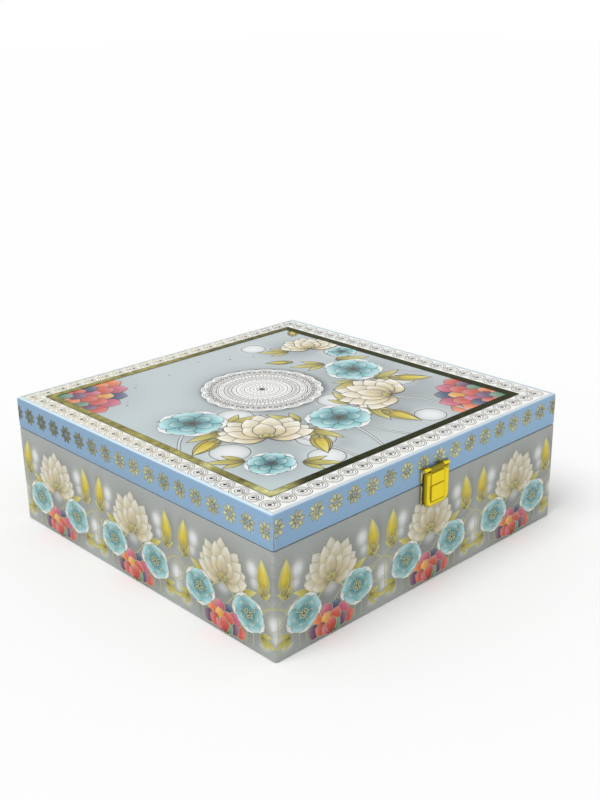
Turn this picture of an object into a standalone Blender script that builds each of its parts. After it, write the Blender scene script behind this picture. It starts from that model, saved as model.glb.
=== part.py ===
"""Gift hamper box: a square fibreboard box in printed paper, with a hinged lid and a brass snap latch.

The base and the lid are trays of five finger-jointed boards. Paper skins are turned over their edges.
Two rolled-knuckle butt hinges join them at the back (+Y). A pressed flap latch holds them at the front (-Y).
The origin is the centre of the underside. X runs across the front, and +Z is up.
"""

import math

import bmesh
import bpy
from mathutils import Matrix, Vector

MM = 0.001

# The closed box, measured over its paper
BOX_WIDTH = 254 * MM
BOX_DEPTH = 254 * MM
BOX_HEIGHT = 89 * MM
LID_HEIGHT = 21.5 * MM
SEAM_GAP = 0.4 * MM
CORNER_RADIUS = 2 * MM
TOP_EDGE_RADIUS = 1.5 * MM
FOOT_EDGE_RADIUS = 1 * MM
RIM_EDGE_RADIUS = 0.8 * MM
INSIDE_CORNER_RADIUS = 0.4 * MM

# Fibreboard, paper and the glue line between pieces that touch
BOARD = 4 * MM
PAPER = 0.4 * MM
GLUE_GAP = 0.3 * MM
LONG_FINGER_COUNT = 9
WALL_FINGER_COUNT = 5
RAIL_FINGER_COUNT = 3

# Paper turned over the edges
FOOT_TURN_UNDER = 12 * MM
TOP_TURN_OVER = 2.8 * MM
RIM_TURN_IN = 8 * MM

# Butt hinges
HINGE_SPACING = 140 * MM
HINGE_WIDTH = 26 * MM
HINGE_LEAF_LENGTH = 10 * MM
HINGE_SHEET = 0.8 * MM
HINGE_PIN_RADIUS = 0.9 * MM
HINGE_KNUCKLE_SPLIT_SHARES = (0.3, 0.7)
HINGE_SCREW_INSET = 5.5 * MM

# Latch
LATCH_PLATE_WIDTH = 27 * MM
LATCH_PLATE_LENGTH = 7.9 * MM
LATCH_SHEET = 0.6 * MM
LATCH_PIN_RADIUS = 0.6 * MM
LATCH_AXIS_HEIGHT = 8.7 * MM
LATCH_EAR_SHARES = (0.19, 0.81)
CATCH_PLATE_LENGTH = 11.8 * MM
CATCH_PLATE_DROP = 0.6 * MM
PLATE_CORNER_RADIUS = 0.9 * MM
FLAP_WIDTH = 25 * MM
FLAP_LENGTH = 24.2 * MM
FLAP_CORNER_RADIUS = 5 * MM
FLAP_EDGE_RADIUS = 0.45 * MM
FLAP_ROOT = 2.5 * MM
PANEL_WIDTH = 12.4 * MM
PANEL_TOP = 0.8 * MM
PANEL_HEIGHT = 17 * MM
PANEL_SPLIT_SHARE = 0.46
PANEL_GROOVE = 0.5 * MM
PANEL_RISE = 0.35 * MM
TONGUE_RISE = 0.65 * MM
PANEL_EDGE_RADIUS = 0.25 * MM
CATCH_LIP_WIDTH = 8 * MM
CATCH_LIP_HEIGHT = 1.2 * MM
CATCH_LIP_DROP = 8.2 * MM
CATCH_CLEARANCE = 0.5 * MM
LATCH_NAIL_INSET = 4.8 * MM

# Screws and nails
SCREW_SHANK_RADIUS = 0.8 * MM
SCREW_HEAD_RADIUS = 1.9 * MM
NAIL_SHANK_RADIUS = 0.55 * MM
NAIL_HEAD_RADIUS = 1.3 * MM
HEAD_HEIGHT = 0.5 * MM
SHANK_IN_BOARD = 3.2 * MM
SHANK_CLEARANCE = 0.2 * MM

# Rolled knuckles
PIN_CLEARANCE = 0.1 * MM
KNUCKLE_WRAP = math.radians(285)
KNUCKLE_STEPS = 13

# Facets and tolerances
CORNER_STEPS = 4
EDGE_STEPS = 3
ROUND_FACETS = 14
SMOOTH_LIMIT = math.radians(35)
TOUCH = 0.001 * MM
CUT_OVERRUN = 1 * MM

# Places that follow from the sizes
SEAM_HEIGHT = BOX_HEIGHT - LID_HEIGHT
BASE_RIM = SEAM_HEIGHT - SEAM_GAP / 2
LID_RIM = SEAM_HEIGHT + SEAM_GAP / 2
SKIN = PAPER + GLUE_GAP
LINING_DEPTH = SKIN + BOARD + SKIN
BOARD_RADIUS = CORNER_RADIUS - SKIN
HINGE_BORE = HINGE_PIN_RADIUS + PIN_CLEARANCE
HINGE_KNUCKLE = HINGE_BORE + HINGE_SHEET
HINGE_AXIS_Y = BOX_DEPTH / 2 + GLUE_GAP + HINGE_KNUCKLE
LATCH_BORE = LATCH_PIN_RADIUS + PIN_CLEARANCE
LATCH_KNUCKLE = LATCH_BORE + LATCH_SHEET
LATCH_AXIS_Y = -BOX_DEPTH / 2 - GLUE_GAP - LATCH_KNUCKLE
LATCH_AXIS_Z = SEAM_HEIGHT + LATCH_AXIS_HEIGHT

# Colours are linear, read off the photograph's mid-tones
FINISHES = {
    "fibreboard": ((0.42, 0.27, 0.15), 0.85, 0.0),
    "printed_side_paper": ((0.36, 0.38, 0.39), 0.35, 0.0),
    "printed_lid_paper": ((0.26, 0.40, 0.54), 0.35, 0.0),
    "lid_print": ((0.54, 0.62, 0.66), 0.3, 0.0),
    "lining_paper": ((0.80, 0.79, 0.75), 0.7, 0.0),
    "underside_paper": ((0.55, 0.55, 0.54), 0.8, 0.0),
    "brass": ((0.83, 0.60, 0.08), 0.25, 1.0),
    "steel_pin": ((0.56, 0.56, 0.55), 0.3, 1.0),
}


def clear_scene():
    """Remove whatever the file opened with."""
    for item in list(bpy.data.objects):
        bpy.data.objects.remove(item, do_unlink=True)


def finish(name):
    """The Principled material of one finish, made once."""
    found = bpy.data.materials.get(name)
    if found:
        return found
    colour, roughness, metallic = FINISHES[name]
    material = bpy.data.materials.new(name)
    material.use_nodes = True
    shader = material.node_tree.nodes["Principled BSDF"]
    shader.inputs["Base Color"].default_value = (*colour, 1)
    shader.inputs["Roughness"].default_value = roughness
    shader.inputs["Metallic"].default_value = metallic
    return material


def add_pivot(name, place, parent=None):
    """An empty on a joint's axis, which carries the pieces that turn with it."""
    pivot = bpy.data.objects.new(name, None)
    pivot.location = place - (parent.matrix_world.translation if parent else Vector())
    pivot.parent = parent
    bpy.context.collection.objects.link(pivot)
    bpy.context.view_layer.update()
    return pivot


def add_piece(name, bm, finish_name, pivot=None):
    """An object from a bmesh drawn where the piece stands, carried by its pivot if it turns."""
    bmesh.ops.recalc_face_normals(bm, faces=bm.faces)
    mesh = bpy.data.meshes.new(name)
    bm.to_mesh(mesh)
    bm.free()
    mesh.set_sharp_from_angle(angle=SMOOTH_LIMIT)
    mesh.materials.append(finish(finish_name))
    piece = bpy.data.objects.new(name, mesh)
    if pivot:
        piece.parent = pivot
        piece.location = -pivot.matrix_world.translation
    bpy.context.collection.objects.link(piece)
    return piece


def add_cutter(name, bm, pivot=None):
    """A shape that only cuts or joins: hidden from renders, and drawn as wire."""
    cutter = add_piece(name, bm, "fibreboard", pivot)
    cutter.hide_render = True
    cutter.display_type = "WIRE"
    return cutter


def combine(piece, other, operation):
    """Cut the other shape from a piece, or join it on."""
    step = piece.modifiers.new(other.name, "BOOLEAN")
    step.object = other
    step.operation = operation
    step.solver = "EXACT"


def plate_mesh(outline, thickness, place):
    """A flat outline given a thickness, then put in its place by a matrix."""
    bm = bmesh.new()
    face = bm.faces.new([bm.verts.new((u, v, 0)) for u, v in outline])
    grown = bmesh.ops.extrude_face_region(bm, geom=[face])["geom"]
    moved = [item for item in grown if isinstance(item, bmesh.types.BMVert)]
    bmesh.ops.translate(bm, verts=moved, vec=(0, 0, thickness))
    bmesh.ops.transform(bm, matrix=place, verts=bm.verts)
    return bm


def place_matrix(origin, along, across, deep):
    """The matrix that takes u, v and depth to three directions from an origin."""
    columns = Matrix((along, across, deep)).transposed().to_4x4()
    return Matrix.Translation(origin) @ columns


def box_mesh(low, high):
    """A box between two corners."""
    bm = bmesh.new()
    bmesh.ops.create_cube(bm, size=1)
    middle = (low + high) / 2
    sides = high - low
    bmesh.ops.scale(bm, vec=sides, verts=bm.verts)
    bmesh.ops.translate(bm, vec=middle, verts=bm.verts)
    return bm


def soften(bm):
    """Shade a round piece smooth."""
    for face in bm.faces:
        face.smooth = True


def round_edges(bm, chosen, radius, steps):
    """Round the chosen edges of a solid."""
    bmesh.ops.bevel(
        bm,
        geom=chosen,
        offset=radius,
        offset_type="OFFSET",
        segments=steps,
        profile=0.5,
        affect="EDGES",
    )


def joined_meshes(meshes):
    """Several separate solids in one bmesh."""
    together = bmesh.new()
    for bm in meshes:
        part = bpy.data.meshes.new("part")
        bm.to_mesh(part)
        bm.free()
        together.from_mesh(part)
        bpy.data.meshes.remove(part)
    return together


def lathe_mesh(profile, foot, outward):
    """A profile of (radius, height) points turned about an axis along Y."""
    bm = bmesh.new()
    points = [bm.verts.new(foot + Vector((radius, outward * height, 0))) for radius, height in profile]
    edges = [bm.edges.new(pair) for pair in zip(points, points[1:])]
    bmesh.ops.spin(
        bm,
        geom=points + edges,
        cent=foot,
        axis=(0, 1, 0),
        angle=math.tau,
        steps=ROUND_FACETS,
        use_duplicate=False,
    )
    bmesh.ops.remove_doubles(bm, verts=bm.verts, dist=TOUCH)
    soften(bm)
    return bm


def rod_mesh(centre, radius, length, end_radius):
    """A round pin along X with eased ends."""
    bm = bmesh.new()
    turn = Matrix.Rotation(math.pi / 2, 4, "Y")
    bmesh.ops.create_cone(
        bm,
        cap_ends=True,
        segments=ROUND_FACETS,
        radius1=radius,
        radius2=radius,
        depth=length,
        matrix=Matrix.Translation(centre) @ turn,
    )
    ends = [edge for edge in bm.edges if abs(edge.verts[0].co.x - edge.verts[1].co.x) < TOUCH]
    round_edges(bm, ends, end_radius, 1)
    soften(bm)
    return bm


def toothed_outline(width, height, sides):
    """The outline of a board whose four edges are cut into fingers.

    Each side is (count, first_out): an odd count of equal spans, of which every other one stands out to the
    edge of the tray. The others stand back by the thickness of the board that crosses there. Sides run from
    the lower left corner, anticlockwise.
    """
    stand_back = BOARD + GLUE_GAP
    corners = (Vector((0, 0)), Vector((width, 0)), Vector((width, height)), Vector((0, height)))
    along = (Vector((1, 0)), Vector((0, 1)), Vector((-1, 0)), Vector((0, -1)))
    inward = (Vector((0, 1)), Vector((-1, 0)), Vector((0, -1)), Vector((1, 0)))
    lengths = (width, height, width, height)
    ends = [0 if first_out else stand_back for _, first_out in sides]
    points = []
    for side, (count, first_out) in enumerate(sides):
        points.append(corners[side] + inward[side] * ends[side] + inward[side - 1] * ends[side - 1])
        for span in range(1, count):
            was_out = (span % 2 == 1) == first_out
            shift = -GLUE_GAP / 2 if was_out else GLUE_GAP / 2
            spot = corners[side] + along[side] * (lengths[side] * span / count + shift)
            before = 0 if was_out else stand_back
            after = stand_back if was_out else 0
            points.append(spot + inward[side] * before)
            points.append(spot + inward[side] * after)
    return points


def tray_boards(names, closed_z, rim_z, end_fingers, pivot=None):
    """Five boards finger-jointed into an open tray: front, back, left, right and the closing board.

    The front and back own the corners. The arrises that the paper goes round are sanded to a radius.
    """
    half_x = BOX_WIDTH / 2 - SKIN
    half_y = BOX_DEPTH / 2 - SKIN
    up = 1 if rim_z > closed_z else -1
    height = abs(rim_z - closed_z)
    plain = (1, True)
    long_ends = ((LONG_FINGER_COUNT, True), (end_fingers, True), plain, (end_fingers, True))
    side_ends = ((LONG_FINGER_COUNT, True), (end_fingers, False), plain, (end_fingers, False))
    all_round = ((LONG_FINGER_COUNT, False),) * 4
    x_axis, y_axis, rise = Vector((1, 0, 0)), Vector((0, 1, 0)), Vector((0, 0, up))
    low_corner = Vector((-half_x, -half_y, closed_z))
    far_corner = Vector((-half_x, half_y, closed_z))
    right_corner = Vector((half_x, -half_y, closed_z))
    boards = (
        (2 * half_x, height, long_ends, place_matrix(low_corner, x_axis, rise, y_axis)),
        (2 * half_x, height, long_ends, place_matrix(far_corner, x_axis, rise, -y_axis)),
        (2 * half_y, height, side_ends, place_matrix(low_corner, y_axis, rise, x_axis)),
        (2 * half_y, height, side_ends, place_matrix(right_corner, y_axis, rise, -x_axis)),
        (2 * half_x, 2 * half_y, all_round, place_matrix(low_corner, x_axis, y_axis, rise)),
    )
    outer_planes = ((0, -half_x), (0, half_x), (1, -half_y), (1, half_y), (2, closed_z))
    made = []
    for name, (width, tall, sides, place) in zip(names, boards):
        bm = plate_mesh(toothed_outline(width, tall, sides), BOARD, place)
        arrises = []
        for edge in bm.edges:
            held = [
                plane
                for plane in outer_planes
                if all(abs(vert.co[plane[0]] - plane[1]) < TOUCH for vert in edge.verts)
            ]
            if len(held) >= 2:
                arrises.append(edge)
        round_edges(bm, arrises, BOARD_RADIUS, EDGE_STEPS)
        made.append(add_piece(name, bm, "fibreboard", pivot))
    return made


def ring_points(inset):
    """The box's rounded square, this far inside its outer faces."""
    half_x = BOX_WIDTH / 2 - inset
    half_y = BOX_DEPTH / 2 - inset
    radius = max(CORNER_RADIUS - inset, INSIDE_CORNER_RADIUS)
    points = []
    for corner in range(4):
        start = corner * math.pi / 2
        sign_x = 1 if corner in (0, 3) else -1
        sign_y = 1 if corner in (0, 1) else -1
        for step in range(CORNER_STEPS + 1):
            angle = start + step * math.pi / 2 / CORNER_STEPS
            x = sign_x * (half_x - radius) + radius * math.cos(angle)
            y = sign_y * (half_y - radius) + radius * math.sin(angle)
            points.append((x, y))
    return points


def rounded_path(corners, radii):
    """A path of straight runs whose inner corners are quarter arcs."""
    points = [corners[0]]
    for before, corner, after, radius in zip(corners, corners[1:], corners[2:], radii):
        way_in = (corner - before).normalized()
        way_out = (after - corner).normalized()
        centre = corner + (way_out - way_in) * radius
        for step in range(EDGE_STEPS + 1):
            angle = step * math.pi / 2 / EDGE_STEPS
            points.append(centre + (way_in * math.sin(angle) - way_out * math.cos(angle)) * radius)
    points.append(corners[-1])
    return points


def skin_section(corners, radii, hand):
    """The section of a paper skin: its outer path, and the same path one paper thickness further in.

    Corners are (inset, height). The paper lies to the right of the path for hand 1, and to its left for -1.
    """
    ways = [(b - a).normalized() for a, b in zip(corners, corners[1:])]
    sides = [Vector((way.y, -way.x)) * hand for way in ways]
    shifts = [sides[0]] + [a + b for a, b in zip(sides, sides[1:])] + [sides[-1]]
    inner = [corner + shift * PAPER for corner, shift in zip(corners, shifts)]
    inner_radii = [max(radius - PAPER, TOUCH) for radius in radii]
    return rounded_path(corners, radii) + rounded_path(inner, inner_radii)[::-1]


def band_mesh(section):
    """A closed section carried round the box's rounded square."""
    bm = bmesh.new()
    rings = [[bm.verts.new((x, y, height)) for x, y in ring_points(inset)] for inset, height in section]
    for here, there in zip(rings, rings[1:] + rings[:1]):
        for k, vert in enumerate(here):
            bm.faces.new((vert, here[k - 1], there[k - 1], there[k]))
    return bm


def sheet_mesh(inset, low, high):
    """A flat sheet with the box's rounded corners."""
    return plate_mesh(ring_points(inset), high - low, Matrix.Translation((0, 0, low)))


def wrap_mesh(closed_z, rim_z, turn_over, edge_radius):
    """The printed paper of a tray: turned over its closed edge, and over its rim and down inside."""
    up = 1 if rim_z > closed_z else -1
    corners = [
        Vector((turn_over, closed_z)),
        Vector((0, closed_z)),
        Vector((0, rim_z)),
        Vector((LINING_DEPTH, rim_z)),
        Vector((LINING_DEPTH, rim_z - up * RIM_TURN_IN)),
    ]
    return band_mesh(skin_section(corners, (edge_radius, RIM_EDGE_RADIUS, RIM_EDGE_RADIUS), up))


def lining_mesh(low, rim_z):
    """The lining of a tray's walls, from its closing board to the turned-in rim."""
    up = 1 if rim_z > low else -1
    high = rim_z - up * (RIM_TURN_IN + GLUE_GAP)
    outer = LINING_DEPTH - PAPER
    corners = ((outer, low), (LINING_DEPTH, low), (LINING_DEPTH, high), (outer, high))
    return band_mesh([Vector(corner) for corner in corners])


def build_tray(kind, board_names, closed_z, rim_z, end_fingers, papers, pivot=None):
    """One half of the box: its boards, wrap, lining and inner sheet. Returns the pieces by name."""
    up = 1 if rim_z > closed_z else -1
    wrap_finish, turn_over, edge_radius, inner_name = papers
    boards = tray_boards(board_names, closed_z + up * SKIN, rim_z - up * SKIN, end_fingers, pivot)
    sheet_z = closed_z + up * (SKIN + BOARD + GLUE_GAP)
    sheet_top = sheet_z + up * PAPER
    wrap = add_piece(kind + "_wrap", wrap_mesh(closed_z, rim_z, turn_over, edge_radius), wrap_finish, pivot)
    inner_sheet = sheet_mesh(LINING_DEPTH + GLUE_GAP, min(sheet_z, sheet_top), max(sheet_z, sheet_top))
    add_piece(inner_name, inner_sheet, "lining_paper", pivot)
    add_piece(kind + "_lining", lining_mesh(sheet_z, rim_z), "lining_paper", pivot)
    pieces = dict(zip(board_names, boards))
    pieces["wrap"] = wrap
    return pieces


def rolled_sections(axis, bore, sheet, reach, hang, roll):
    """Both faces of a metal sheet that runs straight for its reach, then rolls round a pin.

    The axis is (y, z). Hang is 1 where the sheet hangs below the pin and -1 where it stands above. Roll is
    the side of the pin that the straight run lies on. The rows are the sheet's end, the height that clears
    the other leaf's knuckle, the pin's height, and then the roll. Returns the outer and the inner rows.
    """
    knuckle = bore + sheet
    rows = {knuckle: [], bore: []}
    for radius, points in rows.items():
        for drop in (reach, knuckle + GLUE_GAP, 0):
            points.append(axis + Vector((roll * radius, -hang * drop)))
        for step in range(1, KNUCKLE_STEPS + 1):
            angle = KNUCKLE_WRAP * step / KNUCKLE_STEPS
            points.append(axis + Vector((roll * math.cos(angle), hang * math.sin(angle))) * radius)
    return rows[knuckle], rows[bore]


def sheet_metal_mesh(columns, faces, knuckle_columns):
    """A sheet in columns along X and rows along its bend, whose rolled rows stand only in some columns.

    The first row, below the knuckles, runs through every column.
    """
    outer, inner = faces
    rows = len(outer) - 1
    filled = {(column, 0) for column in range(len(columns) - 1)}
    filled |= {(column, row) for column in knuckle_columns for row in range(1, rows)}
    bm = bmesh.new()
    made = {}

    def vert(column, row, side):
        key = (column, row, side)
        if key not in made:
            y, z = (outer, inner)[side][row]
            made[key] = bm.verts.new((columns[column], y, z))
        return made[key]

    for column, row in sorted(filled):
        corners = ((column, row), (column + 1, row), (column + 1, row + 1), (column, row + 1))
        for side in (0, 1):
            bm.faces.new([vert(*corner, side) for corner in corners]).smooth = row > 0
        beside = ((column, row - 1), (column + 1, row), (column, row + 1), (column - 1, row))
        for edge, neighbour in enumerate(beside):
            if neighbour not in filled:
                a, b = corners[edge], corners[(edge + 1) % 4]
                bm.faces.new((vert(*b, 0), vert(*a, 0), vert(*a, 1), vert(*b, 1)))
    return bm


def round_plate_corners(bm, width, end_z, radius):
    """Round the two free corners of a plate that stands in the XZ plane."""
    corners = [
        edge
        for edge in bm.edges
        if all(
            abs(abs(vert.co.x) - width / 2) < TOUCH and abs(vert.co.z - end_z) < TOUCH for vert in edge.verts
        )
    ]
    round_edges(bm, corners, radius, EDGE_STEPS)


def knuckle_columns(width, split_shares):
    """Places across a hinge: its ends and the two running gaps between its knuckles."""
    half = width / 2
    left, right = (width * share - half for share in split_shares)
    gap = GLUE_GAP / 2
    return [-half, left - gap, left + gap, right - gap, right + gap, half]


def fastener_mesh(place, outward, shank, head):
    """A pan-headed screw or nail: the place is on the metal's face, on its axis."""
    deep = -GLUE_GAP - SKIN - SHANK_IN_BOARD
    point = shank / 2
    profile = (
        (0, deep),
        (point, deep),
        (shank, deep + point),
        (shank, GLUE_GAP),
        (head, GLUE_GAP),
        (head - HEAD_HEIGHT / 2, GLUE_GAP + HEAD_HEIGHT / 2),
        (head / 2, GLUE_GAP + HEAD_HEIGHT),
        (0, GLUE_GAP + HEAD_HEIGHT),
    )
    return lathe_mesh(profile, place, outward)


def hole_mesh(place, outward, shank):
    """The hole that a fastener's shank goes through, from outside the metal to past its point."""
    wall = shank + SHANK_CLEARANCE
    deep = -GLUE_GAP - SKIN - SHANK_IN_BOARD - SHANK_CLEARANCE
    return lathe_mesh(((0, deep), (wall, deep), (wall, CUT_OVERRUN), (0, CUT_OVERRUN)), place, outward)


def fasten(names, places, outward, sizes, drilled, finish_name, pivot=None):
    """Drive one fastener at each place, and drill its hole in every piece that it goes through."""
    shank, head = sizes
    for name, place in zip(names, places):
        add_piece(name, fastener_mesh(place, outward, shank, head), finish_name, pivot)
    cutter = add_cutter(
        names[0] + "_holes", joined_meshes([hole_mesh(place, outward, shank) for place in places]), pivot
    )
    for piece in drilled:
        combine(piece, cutter, "DIFFERENCE")


def build_hinges(base, lid, lid_pivot):
    """Two butt hinges on the back. The base leaf holds the outer knuckles and the pin, the lid leaf one."""
    axis = Vector((HINGE_AXIS_Y, SEAM_HEIGHT))
    columns = knuckle_columns(HINGE_WIDTH, HINGE_KNUCKLE_SPLIT_SHARES)
    face_y = HINGE_AXIS_Y - HINGE_BORE
    screw_drop = (HINGE_LEAF_LENGTH + HINGE_KNUCKLE) / 2
    halves = (
        ("base", 1, (0, 4), None, base["base_back_wall"], base["wrap"]),
        ("lid", -1, (2,), lid_pivot, lid["lid_back_rail"], lid["wrap"]),
    )
    for half, hang, knuckles, pivot, board, wrap in halves:
        faces = rolled_sections(axis, HINGE_BORE, HINGE_SHEET, HINGE_LEAF_LENGTH, hang, -1)
        leaves, places, names = [], [], []
        for side, sign in (("left", -1), ("right", 1)):
            centre_x = sign * HINGE_SPACING / 2
            bm = sheet_metal_mesh(columns, faces, knuckles)
            end_z = SEAM_HEIGHT - hang * HINGE_LEAF_LENGTH
            round_plate_corners(bm, HINGE_WIDTH, end_z, PLATE_CORNER_RADIUS)
            bmesh.ops.translate(bm, verts=bm.verts, vec=(centre_x, 0, 0))
            leaves.append(add_piece(f"hinge_{side}_{half}_leaf", bm, "brass", pivot))
            for end, shift in (("left", -1), ("right", 1)):
                x = centre_x + shift * (HINGE_WIDTH / 2 - HINGE_SCREW_INSET)
                places.append(Vector((x, face_y, SEAM_HEIGHT - hang * screw_drop)))
                names.append(f"hinge_{side}_{half}_screw_{end}")
        sizes = (SCREW_SHANK_RADIUS, SCREW_HEAD_RADIUS)
        fasten(names, places, 1, sizes, [*leaves, board, wrap], "brass", pivot)
    for side, sign in (("left", -1), ("right", 1)):
        centre = Vector((sign * HINGE_SPACING / 2, HINGE_AXIS_Y, SEAM_HEIGHT))
        pin = rod_mesh(centre, HINGE_PIN_RADIUS, HINGE_WIDTH + 2 * GLUE_GAP, PIN_CLEARANCE)
        add_piece(f"hinge_{side}_pin", pin, "steel_pin")


def flap_outline(inset, top):
    """The flap's outline: straight sides, and two well-rounded lower corners."""
    half = FLAP_WIDTH / 2 - inset
    foot = LATCH_AXIS_Z - FLAP_LENGTH + inset
    radius = FLAP_CORNER_RADIUS - inset
    points = [(half, top), (-half, top)]
    for side, start in ((-1, math.pi), (1, math.pi * 3 / 2)):
        for step in range(CORNER_STEPS + 1):
            angle = start + step * math.pi / 2 / CORNER_STEPS
            x = side * (half - radius) + radius * math.cos(angle)
            points.append((x, foot + radius + radius * math.sin(angle)))
    return points


def flap_shell_mesh(front_y, back_y):
    """The pressed shell of the flap: a front sheet with its sides and foot turned back, open at the top."""
    top = LATCH_AXIS_Z - LATCH_KNUCKLE - GLUE_GAP
    bm = bmesh.new()
    loops = []
    for inset, y in ((0, front_y), (0, back_y), (LATCH_SHEET, back_y), (LATCH_SHEET, front_y + LATCH_SHEET)):
        loops.append([bm.verts.new((x, y, z)) for x, z in flap_outline(inset, top)])
    for here, there in zip(loops, loops[1:]):
        for k, vert in enumerate(here):
            if k != 1:
                bm.faces.new((vert, here[k - 1], there[k - 1], there[k]))
    bm.faces.new(loops[0])
    bm.faces.new(loops[3])
    bm.faces.new([loop[0] for loop in loops] + [loop[1] for loop in reversed(loops)])
    turned = [
        edge
        for edge in bm.edges
        if all(abs(vert.co.y - front_y) < TOUCH for vert in edge.verts)
        and not all(abs(vert.co.z - top) < TOUCH for vert in edge.verts)
    ]
    round_edges(bm, turned, FLAP_EDGE_RADIUS, 2)
    return bm


def panel_mesh(low_z, high_z, front_y, rise):
    """One embossed half of the flap's centre panel, with eased front edges."""
    buried = front_y + LATCH_SHEET / 2
    proud = front_y - rise
    bm = box_mesh(Vector((-PANEL_WIDTH / 2, proud, low_z)), Vector((PANEL_WIDTH / 2, buried, high_z)))
    front = [edge for edge in bm.edges if all(abs(vert.co.y - proud) < TOUCH for vert in edge.verts)]
    round_edges(bm, front, PANEL_EDGE_RADIUS, 2)
    return bm


def build_latch(base, lid, lid_pivot):
    """The snap latch: a plate with two ears on the lid, a flap on its pin, and a catch plate with a lip."""
    axis = Vector((LATCH_AXIS_Y, LATCH_AXIS_Z))
    front_y = LATCH_AXIS_Y - LATCH_KNUCKLE
    plate_front = -BOX_DEPTH / 2 - GLUE_GAP - LATCH_SHEET
    back_y = plate_front - GLUE_GAP
    room = plate_front - (front_y + LATCH_SHEET)
    columns = knuckle_columns(LATCH_PLATE_WIDTH, LATCH_EAR_SHARES)

    ears = rolled_sections(axis, LATCH_BORE, LATCH_SHEET, LATCH_PLATE_LENGTH, 1, 1)
    bm = sheet_metal_mesh(columns, ears, (0, 4))
    round_plate_corners(bm, LATCH_PLATE_WIDTH, LATCH_AXIS_Z - LATCH_PLATE_LENGTH, PLATE_CORNER_RADIUS)
    lid_plate = add_piece("latch_lid_plate", bm, "brass", lid_pivot)
    nail_z = LATCH_AXIS_Z - (LATCH_PLATE_LENGTH + LATCH_KNUCKLE) / 2
    sizes = (NAIL_SHANK_RADIUS, NAIL_HEAD_RADIUS)
    nail_x = LATCH_PLATE_WIDTH / 2 - LATCH_NAIL_INSET
    nail_xs = (-nail_x, nail_x)
    fasten(
        ("latch_plate_nail_left", "latch_plate_nail_right"),
        [Vector((x, plate_front, nail_z)) for x in nail_xs],
        -1,
        sizes,
        (lid_plate, lid["lid_front_rail"], lid["wrap"]),
        "brass",
        lid_pivot,
    )
    pin_centre = Vector((0, LATCH_AXIS_Y, LATCH_AXIS_Z))
    pin = rod_mesh(pin_centre, LATCH_PIN_RADIUS, LATCH_PLATE_WIDTH + GLUE_GAP, PIN_CLEARANCE)
    add_piece("latch_pin", pin, "steel_pin", lid_pivot)

    catch_top = SEAM_HEIGHT - CATCH_PLATE_DROP
    catch_foot = catch_top - CATCH_PLATE_LENGTH
    half = LATCH_PLATE_WIDTH / 2
    blank = ((-half, catch_foot), (half, catch_foot), (half, catch_top), (-half, catch_top))
    stand = place_matrix(
        Vector((0, plate_front, 0)), Vector((1, 0, 0)), Vector((0, 0, 1)), Vector((0, 1, 0))
    )
    bm = plate_mesh(blank, LATCH_SHEET, stand)
    round_plate_corners(bm, LATCH_PLATE_WIDTH, catch_foot, PLATE_CORNER_RADIUS)
    catch = add_piece("latch_catch_plate", bm, "brass")
    lip_top = SEAM_HEIGHT - CATCH_LIP_DROP
    lip_reach = room - CATCH_CLEARANCE
    lip_half = CATCH_LIP_WIDTH / 2
    lip_front = plate_front - lip_reach
    lip = box_mesh(
        Vector((-lip_half, lip_front, lip_top - CATCH_LIP_HEIGHT)),
        Vector((lip_half, plate_front + LATCH_SHEET / 2, lip_top)),
    )
    nose = [edge for edge in lip.edges if all(abs(vert.co.y - lip_front) < TOUCH for vert in edge.verts)]
    round_edges(lip, nose, PANEL_EDGE_RADIUS, 1)
    combine(catch, add_cutter("catch_lip", lip), "UNION")
    fasten(
        ("latch_catch_nail_left", "latch_catch_nail_right"),
        [Vector((x, plate_front, catch_top - CATCH_PLATE_LENGTH / 2)) for x in nail_xs],
        -1,
        sizes,
        (catch, base["base_front_wall"], base["wrap"]),
        "brass",
    )

    flap_pivot = add_pivot("latch_flap_axis", pin_centre, lid_pivot)
    flap = add_piece("latch_flap", flap_shell_mesh(front_y, back_y), "brass", flap_pivot)
    root = LATCH_KNUCKLE + GLUE_GAP + FLAP_ROOT
    roll = rolled_sections(axis, LATCH_BORE, LATCH_SHEET, root, 1, -1)
    knuckle = sheet_metal_mesh(columns[2:4], roll, (0,))
    combine(flap, add_cutter("flap_knuckle", knuckle, flap_pivot), "UNION")
    panel_top = LATCH_AXIS_Z - LATCH_KNUCKLE - GLUE_GAP - PANEL_TOP
    panel_foot = panel_top - PANEL_HEIGHT
    split = panel_top - PANEL_HEIGHT * PANEL_SPLIT_SHARE
    upper = panel_mesh(split + PANEL_GROOVE / 2, panel_top, front_y, PANEL_RISE)
    tongue = panel_mesh(panel_foot, split - PANEL_GROOVE / 2, front_y, TONGUE_RISE)
    combine(flap, add_cutter("flap_upper_panel", upper, flap_pivot), "UNION")
    combine(flap, add_cutter("flap_tongue", tongue, flap_pivot), "UNION")
    ridge_top = lip_top - CATCH_LIP_HEIGHT - GLUE_GAP
    ridge = box_mesh(
        Vector((-lip_half, front_y + LATCH_SHEET / 2, ridge_top - CATCH_LIP_HEIGHT)),
        Vector((lip_half, front_y + LATCH_SHEET + room - CATCH_CLEARANCE, ridge_top)),
    )
    combine(flap, add_cutter("flap_ridge", ridge, flap_pivot), "UNION")


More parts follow.
